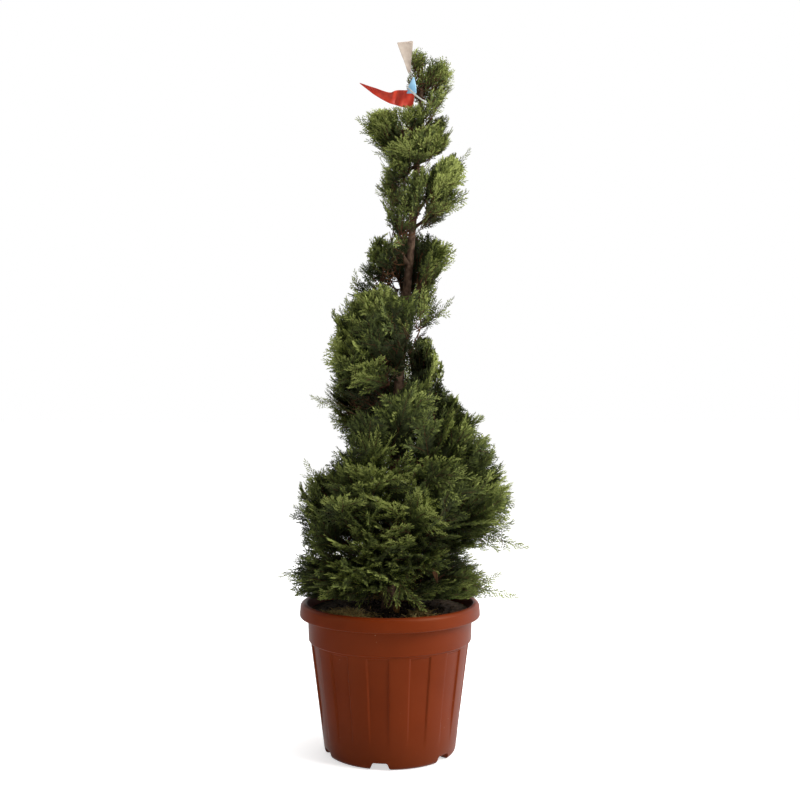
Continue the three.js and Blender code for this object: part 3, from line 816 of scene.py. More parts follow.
def stem_radius(z):
    share = np.clip((z - SOIL_MOUND) / (TRUNK_TIP - SOIL_MOUND), 0, 1)
    return TRUNK_TIP_RADIUS + (TRUNK_FOOT_RADIUS - TRUNK_TIP_RADIUS) * (1 - share) ** 0.75


print("stem from", stem_centre(SOIL_MOUND).round(3), "to", stem_centre(TRUNK_TIP).round(3))

# %% Crown reach and groove
CROWN_TOP = 1.330
SKIRT = 1.044
FRONT_LIFT = 0.024  # the foot of the crown is clipped this much higher at the front
# Drops below the top in mm, each with the crown's reach from the stem there, on the right and left.
RIGHT = [
    (0, 10), (20, 46), (62, 70), (105, 60), (190, 64), (240, 96), (318, 100), (338, 54), (364, 52),
    (380, 86), (410, 84), (445, 62), (560, 58), (640, 98), (700, 160), (780, 202), (890, 238),
    (950, 178), (1000, 186), (1044, 172),
]
LEFT = [
    (0, 10), (12, 28), (110, 32), (134, 106), (190, 98), (230, 70), (285, 84), (302, 56),
    (345, 60), (370, 84), (440, 104), (500, 138), (640, 150), (740, 120), (800, 138), (824, 178),
    (1000, 207), (1044, 176),
]
RIGHT_DROPS, RIGHT_REACH = np.array(RIGHT).T / 1000
LEFT_DROPS, LEFT_REACH = np.array(LEFT).T / 1000
FIRST_GROOVE = 0.133
GROOVE_GROWTH = 1.6
WAVER_TURNS = [0, 0.5, 1, 1.5, 2.2, 2.5, 3, 3.5, 4, 4.27]
WAVER = [0.97, 1.34, 0.96, 1.12, 1, 1.18, 1.01, 1.08, 1.09, 1.03]
GAP = 0.004
GAP_GROWTH = 0.010
RISE = 0.65
PIVOT_SHARE = 0.6
WAIST_TURN, WAIST_SPREAD, WAIST_OPENING = 2.24, 0.08, 0.090
SPIRAL_START, SPIRAL_END, MASSES, CROWDING = -1, 4.27, 15, 0.8


def outward_at(turn):
    """Direction away from the stem: the spiral goes down from +X to the front, then to the left."""
    turn = np.asarray(turn, float)
    return np.stack([np.cos(TAU * turn), -np.sin(TAU * turn), np.zeros_like(turn)], axis=-1)


def crown_reach(turn, drop):
    leftness = (1 - np.cos(TAU * np.asarray(turn))) / 2
    right = np.interp(drop, RIGHT_DROPS, RIGHT_REACH)
    return right + (np.interp(drop, LEFT_DROPS, LEFT_REACH) - right) * leftness


def groove_drop(turn):
    return FIRST_GROOVE * GROOVE_GROWTH**turn * np.interp(turn, WAVER_TURNS, WAVER)


def band_top(turn):
    turn = np.asarray(turn, float)
    waist = WAIST_OPENING * np.exp(-(((turn - WAIST_TURN) / WAIST_SPREAD) ** 2))
    top = groove_drop(turn) * (1 + GAP_GROWTH) + GAP + waist
    return np.where(turn < SPIRAL_START, 0, top)


def band_foot(turn):
    return np.minimum(groove_drop(np.asarray(turn, float) + 1) * (1 - GAP_GROWTH) - GAP, SKIRT)


def rise_at(drop):
    return RISE * np.maximum(0, 1 - drop / SKIRT)


def band_point(turn, depth, share):
    """A point of the band: depth runs from its top to its foot, share from the stem to the reach."""
    turn = np.asarray(turn, float)
    level = band_top(turn) + (band_foot(turn) - band_top(turn)) * depth
    reach = crown_reach(turn, level)
    drop = level - rise_at(level) * (share - PIVOT_SHARE) * reach
    return stem_centre(CROWN_TOP - drop) + outward_at(turn) * np.asarray(share * reach)[..., None]


CORE_INNER, CORE_INNER_GROWTH = 0.012, 0.18
END_FLAT = 0.07  # the crown is this much flatter at its front and back
INNER_SHARE = 0.55  # the fine leaves come this much nearer to the stem than the boughs' tips


def inner_radius(turn, drop):
    return CORE_INNER + CORE_INNER_GROWTH * crown_reach(turn, drop)


turns = SPIRAL_START + (SPIRAL_END - SPIRAL_START) * (np.arange(MASSES + 1) / MASSES) ** CROWDING
print("masses meet at turns", turns.round(2))


# %% Which points keep to a mass's space
def space_of(points, first, last, spare=1.0):
    """For an array of points: whether each is in the space, its share of the reach and its depth.
    A spray may reach less or more far than the crown as a whole by its own spare."""
    drop = CROWN_TOP - points[:, 2]
    out = points - stem_centre(points[:, 2])
    radius = np.hypot(out[:, 0], out[:, 1])
    turn = first + (-np.arctan2(out[:, 1], out[:, 0]) / TAU - first) % 1
    reach = crown_reach(turn, drop)
    level = drop + rise_at(drop) * (radius - PIVOT_SHARE * reach)
    sideways = TAU * radius * np.minimum(turn - first, last - turn)
    top, foot = band_top(turn), band_foot(turn)
    lowest = SKIRT - FRONT_LIFT * np.clip(-out[:, 1] / LIP_RADIUS, 0, 1)
    furthest = spare * reach * (1 - END_FLAT * (out[:, 1] / np.maximum(radius, 0.001)) ** 2)
    inside = (drop > 0) & (drop < lowest) & (radius < furthest) & (level > top) & (level < foot)
    if last - first < 1:
        inside &= (sideways > 0.002) & (radius > INNER_SHARE * inner_radius(turn, drop))
    return inside, radius / reach, (level - top) / np.maximum(foot - top, 0.001)


# %% [markdown]
# ## Trunk and boughs
#
# The trunk is one limb from its flared foot to its thin tip. It starts as a ring that is extruded
# upwards in short steps, each moved to the stem line and scaled to the stem's radius. A subdivision
# surface rounds it, and then its bark is raised in the mesh: long fibres that run up the limb, with
# ribs where the roots start. Each bough is made the same way along its own curve, and so is a
# snapped orange-brown stub that stands in the compost near the stem.

# %% A limb by repeated extrusion
def grown_limb(centres, radii, sides):
    """A ring extruded through a list of centres, scaled at each to its radius."""
    start, *others = [Vector(centre) for centre in centres]
    heading = (others[0] - start).normalized()
    turn = heading.to_track_quat("Z", "Y")
    clear_selection()
    bpy.ops.mesh.primitive_circle_add(
        vertices=sides, radius=radii[0], fill_type="NGON", location=start, rotation=turn.to_euler()
    )
    limb = bpy.context.object
    bpy.ops.object.mode_set(mode="EDIT")
    here = start
    for centre, before, radius in zip(others, radii, radii[1:]):
        bpy.ops.mesh.extrude_region_move(TRANSFORM_OT_translate={"value": centre - here})
        share = radius / before
        bpy.ops.transform.resize(value=(share, share, share), center_override=centre)
        here = centre
    bpy.ops.mesh.select_all(action="SELECT")
    bpy.ops.mesh.normals_make_consistent(inside=False)
    bpy.ops.object.mode_set(mode="OBJECT")
    bpy.ops.object.transform_apply(location=True, rotation=True, scale=True)
    return limb


def raise_bark(limb, height, fibre, along):
    """Moves each vertex along its normal by a noise that is stretched along the limb."""
    limb.data.update()
    moves = []
    for point in limb.data.vertices:
        x, y, z = point.co
        fibres = noise.noise((x * fibre, y * fibre, z * along))
        flakes = noise.noise((x * fibre * 0.4, y * fibre * 0.4, z * along * 2.2 + 9))
        moves.append(point.normal * height * (0.7 * fibres + 0.5 * flakes))
    for point, move in zip(limb.data.vertices, moves):
        point.co += move


# %% Trunk
TRUNK_STEPS = 44
ROOT_FLARE, FLARE_HEIGHT, ROOTS = 0.008, 0.024, 5
TRUNK_FOOT = SOIL_MOUND - 0.008  # the flare goes on under the loose crumbs

heights = TRUNK_FOOT + (TRUNK_TIP - TRUNK_FOOT) * np.linspace(0, 1, TRUNK_STEPS + 1) ** 1.15
flares = ROOT_FLARE * 0.65 * np.exp((SOIL_MOUND - heights) / FLARE_HEIGHT)
trunk = grown_limb(stem_centre(heights), stem_radius(heights) + flares, 20)
rounded_off(trunk, 2)
for point in trunk.data.vertices:
    centre = stem_centre(point.co.z)
    angle = math.atan2(point.co.y - centre[1], point.co.x - centre[0])
    rib = 0.35 * ROOT_FLARE * math.cos(ROOTS * angle) * math.exp((SOIL_MOUND - point.co.z) / FLARE_HEIGHT)
    point.co.x += rib * math.cos(angle)
    point.co.y += rib * math.sin(angle)
raise_bark(trunk, 0.0011, 420, 34)
settle(trunk, "trunk_bark", BARK, 60)
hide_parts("trunk")


# %% Bough curves
BOUGH_RADIUS, BOUGH_RADIUS_GROWTH, BOUGH_TAPER, BOUGH_SLOPE = 0.0026, 0.018, 0.68, 0.4


def smooth_curve(knots, count):
    """Points of a Catmull-Rom curve through three or more knots, evenly spread by knot."""
    knots = np.asarray(knots, float)
    ends = np.vstack([2 * knots[0] - knots[1], knots, 2 * knots[-1] - knots[-2]])
    places = np.linspace(0, len(knots) - 1, count)
    index = np.minimum(places.astype(int), len(knots) - 2)
    t = (places - index)[:, None]
    a, b, c, d = (ends[index + k] for k in range(4))
    return 0.5 * (2 * b + (c - a) * t + (2 * a - 5 * b + 4 * c - d) * t**2 + (3 * b - a - 3 * c + d) * t**3)


def bough_curve(turn, count):
    """A bough leaves the stem and climbs out to the inner side of the mass that it carries."""
    tip = band_point(turn, 0.6, 0)
    length = inner_radius(turn, CROWN_TOP - tip[2])
    climb = length * (rise_at(CROWN_TOP - tip[2]) + BOUGH_SLOPE)
    root = stem_centre(max(tip[2] - climb, SOIL_MOUND + 0.012))
    root = root + outward_at(turn) * stem_radius(root[2]) * 0.3
    tip = tip + outward_at(turn) * length
    bend = (root + tip) / 2 - np.array([0, 0, climb * 0.1])
    return smooth_curve([root, bend, tip], count)


def bough_radius(turn):
    return float(BOUGH_RADIUS + BOUGH_RADIUS_GROWTH * crown_reach(turn, band_foot(turn)))


middles = (turns[1:] + turns[:-1]) / 2
print("bough radii", [round(bough_radius(turn), 4) for turn in middles])

# %% Boughs
bough_limbs = []
for turn in middles:
    centres = bough_curve(turn, 9)
    shares = np.linspace(0, 1, 9)
    collar_swell = 1 + 0.6 * np.exp(-shares / 0.12)
    radii = bough_radius(turn) * (1 + (BOUGH_TAPER - 1) * shares) * collar_swell
    limb = grown_limb(centres, radii, 8)
    rounded_off(limb, 2)
    raise_bark(limb, 0.0006, 380, 120)
    bough_limbs.append(limb)
boughs = joined(bough_limbs)
settle(boughs, "bough_bark", BARK, 60)
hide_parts(*[f"bough_{k + 1}" for k in range(MASSES)])

# %% Dead stub
STUB_HEIGHTS = np.array([0.258, 0.266, 0.274, 0.281, 0.286])
STUB_RADII = [0.0066, 0.0058, 0.0055, 0.0044, 0.0022]

stub_centres = np.stack([0.012 + 0.1 * (STUB_HEIGHTS - 0.258), -0.030 + 0 * STUB_HEIGHTS, STUB_HEIGHTS], 1)
stub = grown_limb(stub_centres, STUB_RADII, 9)
rounded_off(stub, 2)
raise_bark(stub, 0.0022, 300, 60)
settle(stub, "dead_stub", STUB, 60)

# %% [markdown]
# ## Foliage
#
# The plant has flat, feathery sprays of scale leaves. A spray is a woody axis with a few side fronds,
# and along each of them stand two close rows of scaly fingers, up to about three centimetres long.
# The finger is the smallest shape here: two blades end to end and four scales beside them, a folded
# quad each. A few different fingers are worked out once, and every spray is built from turned and scaled
# copies of them, as arrays, because modelling each by hand would take weeks. Twigs and leaves are
# kept as separate pieces, one pair for each mass.

# %% Finger shapes
FINGER_SHAPES = 10
BLADE_WIDTH = 0.125  # share of the finger's length
SCALE_WIDTH = 0.105
SCALE_PLACES = (0.14, 0.30, 0.46, 0.62)  # shares of the finger's length, on alternate sides
FOLD = 0.4  # how far the sides of a blade droop, as a share of its width


def blade(root, angle, length, width, lift):
    """One folded quad: root, right side, tip, left side. The fold runs from root to tip."""
    along = np.array([math.cos(angle), math.sin(angle), lift])
    across = np.array([-math.sin(angle), math.cos(angle), 0]) * width / 2
    middle = root + along * length * 0.55 - np.array([0, 0, FOLD * width])
    return [root, middle - across, root + along * length, middle + across]


def finger_shape(seed):
    """A finger of unit length along +X: its quads and, for each, how young it is from 0 to 1."""
    luck = np.random.default_rng(seed)
    bend = luck.uniform(-0.25, 0.25)
    side = luck.choice((-1, 1))
    knee = np.array([0.44, 0.44 * bend * 0.3, 0])
    faces = [
        blade(np.zeros(3), bend * 0.3, 0.62, BLADE_WIDTH * 0.9, 0.03),
        blade(knee, bend, 0.57, BLADE_WIDTH, -0.03),
    ]
    young = [0.1, 0.8]
    for place in SCALE_PLACES:
        root = np.array([place, place * bend * (0.3 + 0.5 * place), 0])
        angle = side * math.radians(luck.uniform(30, 44)) + bend * place
        length = luck.uniform(0.22, 0.32) * (1.12 - 0.4 * place)
        faces.append(blade(root, angle, length, SCALE_WIDTH, luck.uniform(-0.3, 0.3)))
        young.append(place + 0.15)
        side = -side
    return np.array(faces), np.array(young)


finger_faces, finger_youth = (np.array(part) for part in zip(*map(finger_shape, range(FINGER_SHAPES))))
print(FINGER_SHAPES, "finger shapes of", finger_faces.shape[1], "faces")


# %% Twigs as thin tapering tubes
def tube(points, radii, sides):
    """Vertices and quads of a thin limb through an array of points."""
    points = np.asarray(points, float)
    along = np.gradient(points, axis=0)
    along /= np.linalg.norm(along, axis=1)[:, None] + 1e-9
    helper = np.where(np.abs(along[:, 2:3]) < 0.9, [[0.0, 0.0, 1.0]], [[1.0, 0.0, 0.0]])
    side = np.cross(along, helper)
    side /= np.linalg.norm(side, axis=1)[:, None] + 1e-9
    up = np.cross(side, along)
    angles = np.arange(sides) * TAU / sides
    ring = side[:, None] * np.cos(angles)[None, :, None] + up[:, None] * np.sin(angles)[None, :, None]
    vertices = (points[:, None] + ring * np.asarray(radii)[:, None, None]).reshape(-1, 3)
    quads = []
    for step in range(len(points) - 1):
        for k in range(sides):
            low, low_next = step * sides + k, step * sides + (k + 1) % sides
            quads.append([low, low_next, low_next + sides, low + sides])
    return vertices, np.array(quads)


class Pile:
    """Collects many small shapes, each with its tone, and turns them into one mesh."""

    def __init__(self):
        self.vertices, self.quads, self.tones, self.count = [], [], [], 0

    def add(self, vertices, quads, tone):
        self.vertices.append(vertices)
        self.quads.append(quads + self.count)
        self.tones.append(np.broadcast_to(np.asarray(tone, np.int32), len(quads)))
        self.count += len(vertices)

    def mesh(self, name, materials):
        vertices, quads = np.vstack(self.vertices), np.vstack(self.quads)
        mesh = bpy.data.meshes.new(name)
        mesh.vertices.add(len(vertices))
        mesh.vertices.foreach_set("co", vertices.astype(np.float32).ravel())
        mesh.loops.add(quads.size)
        mesh.loops.foreach_set("vertex_index", quads.astype(np.int32).ravel())
        mesh.polygons.add(len(quads))
        mesh.polygons.foreach_set("loop_start", np.arange(0, quads.size, 4, dtype=np.int32))
        mesh.polygons.foreach_set("material_index", np.concatenate(self.tones))
        mesh.update(calc_edges=True)
        for material in materials:
            mesh.materials.append(material)
        piece = bpy.data.objects.new(name, mesh)
        bpy.context.scene.collection.objects.link(piece)
        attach(piece, "root")
        return piece


# %% [markdown]
# The direction of a spray follows the solid model's rule. Sprays stand steeply at the top of the
# crown, open out further down, and hang a little over the pot. Each lies in its own plane, leans to
# one side and is rolled on its axis.

# %% Direction of a spray
STEEP, MIDDLE_TILT, DROOP, DROOP_DROP, DEPTH_TILT = 68, 60, 22, 0.860, 64


def spray_tilt(drop, depth):
    """Angle above level, in radians, at a drop below the top and a depth in the band."""
    high = STEEP + (MIDDLE_TILT - STEEP) * min(drop / DROOP_DROP, 1)
    low = min(max((drop - DROOP_DROP) / (SKIRT - DROOP_DROP), 0), 1)
    return math.radians(high + (DROOP - high) * low + DEPTH_TILT * (0.5 - depth))


def spray_axes(outward, tilt, lean, roll):
    """Directions along a spray, across it and out of its face."""
    side = np.array([-outward[1], outward[0], 0])
    along = outward * math.cos(tilt) + side * lean
    along[2] = math.sin(tilt)
    along /= np.linalg.norm(along)
    face = np.cross(along, side)
    face /= np.linalg.norm(face)
    across = np.cross(face, along)
    turned = across * math.cos(roll) + face * math.sin(roll)
    return along, turned, np.cross(along, turned)


# %% Rows of fingers along an axis
FINGER_PITCH = 0.0028  # along the axis, on alternate sides
FINGER_SHARE = 0.33  # of the frond's length
FINGER_LENGTH = (0.014, 0.029)
SHRINKS = (1.0, 0.74, 0.5)  # tried in turn until a finger keeps to its space
FINGER_OPENING, OPENING_LOSS, OPENING_LUCK = 41, 14, 8  # degrees at the foot, lost by the tip, luck
FULL_LENGTH, TIP_LOSS = 1.08, 0.55  # fingers get shorter towards a frond's tip
FOOT_LENGTH, FOOT_GAIN = 0.55, 2.2  # and they start short at its foot
# These values paint light and shade into a finger's tone: painted light further out in the crown, on the
# upper side of a band, for lying flat and towards a frond's tip, and painted shade deep inside. A fresh tip
# is also lighter in its own colour.
TONE_STEPS = (-0.34, 0.04, 0.40, 0.78)  # light at which the next lighter tone starts
YOUTH_LIGHT = 0.75  # how much lighter a finger's tip is than its root
OUTER_LIGHT, OUTER_SHARE = 1.7, 0.8  # gain in light with the share of the reach, and where it is nought
UPPER_LIGHT, FACING_LIGHT = 0.25, 0.25  # for the upper side of a band and for lying flat
FROND_LIGHT, FROND_SHARE = 0.45, 0.6  # gain along a frond, and where it is nought
LIGHT_LUCK = 0.12
DRY, DRY_SHARE, DRY_CHANCE = 5, 0.45, 0.06  # some fingers deep in the crown are dry


def add_fingers(leaves, luck, centres, shares, axes, finger_length, space, light):
    """Adds fingers at all centres that have room for one, and returns which of them have."""
    along, across, face = axes
    count = len(centres)
    sides = np.where(np.arange(count) % 2, 1.0, -1.0)
    sides[-1] = 0.0
    angles = sides * np.radians(
        FINGER_OPENING - OPENING_LOSS * shares + luck.uniform(-OPENING_LUCK, OPENING_LUCK, count)
    )
    pitches = luck.normal(0, 0.11, count)
    rolls = luck.uniform(-0.45, 0.45, count)
    lengths = finger_length * (FULL_LENGTH - TIP_LOSS * shares)
    lengths *= np.minimum(1, FOOT_LENGTH + FOOT_GAIN * shares)
    lengths *= luck.uniform(0.78, 1.22, count)
    heading = np.outer(np.cos(angles), along) + np.outer(np.sin(angles), across) + np.outer(pitches, face)
    heading /= np.linalg.norm(heading, axis=1)[:, None]
    flat = np.cross(np.broadcast_to(face, heading.shape), heading)
    flat /= np.linalg.norm(flat, axis=1)[:, None]
    turned = flat * np.cos(rolls)[:, None] + np.cross(heading, flat) * np.sin(rolls)[:, None]
    normals = np.cross(heading, turned)
    rooted = space(centres)[0]
    fitted = np.zeros(count)
    for shrink in SHRINKS:
        fits = rooted & space(centres + heading * (shrink * lengths)[:, None])[0]
        fitted = np.where((fitted == 0) & fits, shrink * lengths, fitted)
    kept = np.flatnonzero(fitted)
    if not len(kept):
        return kept
    sizes = fitted[kept, None, None]
    basis = np.stack([heading[kept], turned[kept], normals[kept]], axis=1) * sizes
    kinds = luck.integers(FINGER_SHAPES, size=len(kept))
    placed = np.einsum("fqvi,fij->fqvj", finger_faces[kinds], basis) + centres[kept, None, None]
    _, reached, depths = space(centres[kept] + heading[kept] * fitted[kept, None])
    # Painted light and shade: a finger's tone is lighter further out, on the upper side of its band, when
    # it lies flat and towards its frond's tip, and darker deep inside.
    lights = light + OUTER_LIGHT * (reached - OUTER_SHARE) + UPPER_LIGHT * (0.5 - depths)
    lights = lights + FACING_LIGHT * np.abs(normals[kept, 2])
    lights += FROND_LIGHT * (shares[kept] - FROND_SHARE) + luck.uniform(-LIGHT_LUCK, LIGHT_LUCK, len(kept))
    tones = np.searchsorted(TONE_STEPS, lights[:, None] + YOUTH_LIGHT * (finger_youth[kinds] - 0.5))
    tones[(reached < DRY_SHARE) & (luck.random(len(kept)) < DRY_CHANCE)] = DRY
    vertices = placed.reshape(-1, 3)
    leaves.add(vertices, np.arange(len(vertices)).reshape(-1, 4), tones.ravel())
    return kept


# %% One spray: an axis with fingers, and side fronds in the same plane
SIDE_EVERY = 0.027
SIDE_START, SIDE_SPAN = 0.06, 0.56  # where along a spray its side fronds stand, as shares
SIDE_ANGLES = (34, 48)  # degrees
SIDE_LENGTH, SIDE_SHORTER = 0.66, 0.42  # share of the spray's length, and what it loses by the tip
ROOTED_SHARE = 0.6  # of a spray's axis that has to lie in its space
FEWEST_FINGERS, FEWEST_SIDE_FINGERS = 5, 4  # a barer axis gets no stalk
AXIS_RADII = (0.0009, 0.0003)


def frond_line(luck, root, axes, length):
    """Places along a frond's bowed and sagging axis, and their shares of its length."""
    along, across, face = axes
    shares = np.linspace(0.05, 1.0, max(6, round(length / FINGER_PITCH)))
    bow, sweep, sag = luck.uniform(-0.12, 0.12), luck.uniform(-0.12, 0.12), luck.uniform(-0.04, 0.10)
    bend = length * (bow * face + sweep * across - sag * np.array([0, 0, 1]))
    return root + np.outer(shares * length, along) + np.outer(shares**2, bend), shares


def grow_spray(leaves, twigs, luck, root, axes, length, space, light, slimness=1.0):
    """Adds one spray to the piles. Returns the number of fingers that found room."""
    along, across, face = axes
    centres, shares = frond_line(luck, root, axes, length)
    if space(centres)[0].mean() < ROOTED_SHARE:
        return 0
    finger_length = float(np.clip(FINGER_SHARE * length, *FINGER_LENGTH)) * slimness
    kept = add_fingers(leaves, luck, centres, shares, axes, finger_length, space, light)
    if len(kept) < FEWEST_FINGERS:
        return len(kept)
    stalks = [(root, centres[: kept[-1] + 1], 1.0)]
    total = len(kept)
    side_count = round(length / SIDE_EVERY)
    for number in range(side_count):
        place = int(len(centres) * (SIDE_START + SIDE_SPAN * (number + luck.uniform(0, 0.6)) / side_count))
        side = 1 if number % 2 else -1
        angle = side * math.radians(luck.uniform(*SIDE_ANGLES))
        heading = along * math.cos(angle) + across * math.sin(angle) + face * luck.uniform(-0.22, 0.22)
        heading /= np.linalg.norm(heading)
        flat = np.cross(face, heading)
        flat /= np.linalg.norm(flat)
        side_axes = (heading, flat, np.cross(heading, flat))
        side_share = SIDE_LENGTH - SIDE_SHORTER * shares[place]
        side_length = length * side_share * luck.uniform(0.75, 1.1) * slimness
        side_centres, side_shares = frond_line(luck, centres[place], side_axes, side_length)
        size = finger_length * 0.8
        side_kept = add_fingers(leaves, luck, side_centres, side_shares, side_axes, size, space, light)
        total += len(side_kept)
        if len(side_kept) >= FEWEST_SIDE_FINGERS:
            stalks.append((centres[place], side_centres[: side_kept[-1] + 1], 0.7))
    for foot, line, thickness in stalks:
        points = np.vstack([foot, line[:: max(1, len(line) // 3)]])
        radii = np.linspace(*AXIS_RADII, len(points)) * thickness
        twigs.add(*tube(points, radii, 3), 0)
    return total


# %% [markdown]
# A mass starts at its bough's tip. Its own stem carries on to the heart of the mass, a few arms fan
# out from it along the band, and every spray grows from the nearest arm on a short twig. Long sprays
# make the outside, and others further in close the view to the middle. Each spray reaches out by its
# own measure, so the outline is ragged rather than cut. A few long ones were missed by the shears.

# %% Stem and arms of a mass
LAYER_SHARES = (0.64, 0.48, 0.30)  # share of the reach at which the sprays of a layer start
LAYER_CHANCES = (0.50, 0.30, 0.20)
HEM_DEPTH, HEM_CHANCE = 0.05, 0.26  # extra sprays hide the stem's foot, where the band ends at the skirt
SPRAY_LENGTH = (0.042, 0.120)
SPARE, MOST_SPARE = (0.84, 1.02), 1.06
# Sprays that reach out together also get painted light, and those that hang back painted shade.
LUMP_SCALE, LUMP_SPARE, LUMP_LIGHT = 17, 0.26, 0.7  # neighbouring sprays reach out, or hang back, together
SPRAYS = 1500
CROWDED = 0.72  # larger masses get fewer sprays for their size
ARM_STEPS = 9
# Painted light at the top of the crown, fading downwards, and painted shade at its foot.
BASE_LIGHT, TOP_LIGHT, TOP_FADE = 0.08, 0.76, 0.28  # the top is lighter, and that fades down the crown
LOW_SHADE = 0.30  # the foot of the crown is darker
# The long sprays: turn, depth in the band, share of the reach, length in mm, tilt in degrees, lean.
STRAYS = [
    (-0.52, 0.75, 0.50, 84, 42, 0.10),
    (1.04, 0.40, 0.45, 92, 46, -0.10),
    (2.04, 0.88, 0.50, 92, 38, 0.05),
    (2.56, 0.74, 0.78, 80, 20, 0.00),
    (3.47, 0.36, 0.70, 74, 54, 0.10),
    (3.53, 0.76, 0.66, 84, -14, 0.00),
    (3.06, 0.88, 0.62, 138, -8, 0.02),
    (4.09, 0.10, 0.62, 134, -16, 0.30),
]
STRAY_SLIMNESS, STRAY_SPARE = 0.70, 1.5
# Sprays with painted light that stand out in front of the lower crown or hang before the stem's foot: root
# and tip.
HANGING = [
    ((0.058, -0.112, 0.520), (0.150, -0.150, 0.536)),
    ((0.058, -0.112, 0.512), (0.004, -0.176, 0.446)),
    ((0.064, -0.112, 0.524), (0.118, -0.166, 0.486)),
    ((0.050, -0.106, 0.520), (0.040, -0.172, 0.540)),
    ((-0.030, -0.085, 0.372), (0.060, -0.150, 0.304)),
    ((0.045, -0.090, 0.392), (-0.004, -0.150, 0.300)),
    ((-0.020, -0.060, 0.345), (-0.052, -0.135, 0.300)),
    ((0.020, -0.050, 0.340), (0.034, -0.128, 0.296)),
    ((-0.004, -0.040, 0.350), (-0.018, -0.110, 0.296)),
]


def mass_stem(turn):
    """The stem inside a mass, from its bough's tip to the heart of the mass, and its radius."""
    curve = bough_curve(turn, 9)
    heading = curve[-1] - curve[-2]
    heading /= np.linalg.norm(heading)
    radius = bough_radius(turn) * BOUGH_TAPER
    heart = band_point(turn, 0.5, 0.55)
    return smooth_curve([curve[-1], curve[-1] + heading * radius * 2, heart], ARM_STEPS), radius


def mass_arms(luck, first, last, stem_points):
    """Curves that fan out from the stem of a mass along its band."""
    middle = (first + last) / 2
    reach = float(crown_reach(middle, (band_top(middle) + band_foot(middle)) / 2))
    count = round(4 + 16 * reach)
    arms = []
    for number in range(count):
        turn = first + (last - first) * (number + luck.uniform(0.2, 0.8)) / count
        end = band_point(turn, luck.uniform(0.15, 0.85), luck.uniform(0.52, 0.68))
        start = stem_points[luck.integers(2, len(stem_points) - 2)]
        sag = np.array([0, 0, -0.10 * np.linalg.norm(end - start)])
        arms.append(smooth_curve([start, 0.55 * start + 0.45 * end + sag, end], ARM_STEPS))
    return arms


def loose_space(points):
    """Room for the hanging sprays: anywhere above the skirt, lit as the outside of the crown is."""
    above = CROWN_TOP - points[:, 2] < SKIRT
    return above, np.full(len(points), 0.85), np.full(len(points), 0.5)


# %% One mass
def spray_start(luck, first, last):
    """A place in the band where a spray starts, its turn, its depth and its share of the reach."""
    turn = first + (last - first) * luck.random()
    depth = luck.uniform(0.01, 0.98) ** 0.85
    layer = luck.choice(len(LAYER_SHARES), p=LAYER_CHANCES)
    share = LAYER_SHARES[layer] * luck.uniform(0.84, 1.14)
    if band_foot(turn) > SKIRT - HEM_DEPTH and luck.random() < HEM_CHANCE:
        depth, share = luck.uniform(0.86, 0.99), luck.uniform(0.14, 0.55)
    return band_point(turn, depth, share), turn, depth, share


def join_to_arms(twigs, forks, root, along, length):
    """A short twig from the nearest place on the arms to a spray's root."""
    fork = forks[np.argmin(np.linalg.norm(forks - root + 0.3 * length * along, axis=1))]
    middle = 0.5 * (fork + root) - 0.10 * np.linalg.norm(root - fork) * along
    twigs.add(*tube(smooth_curve([fork, middle, root], 4), np.linspace(0.0012, 0.0009, 4), 4), 0)


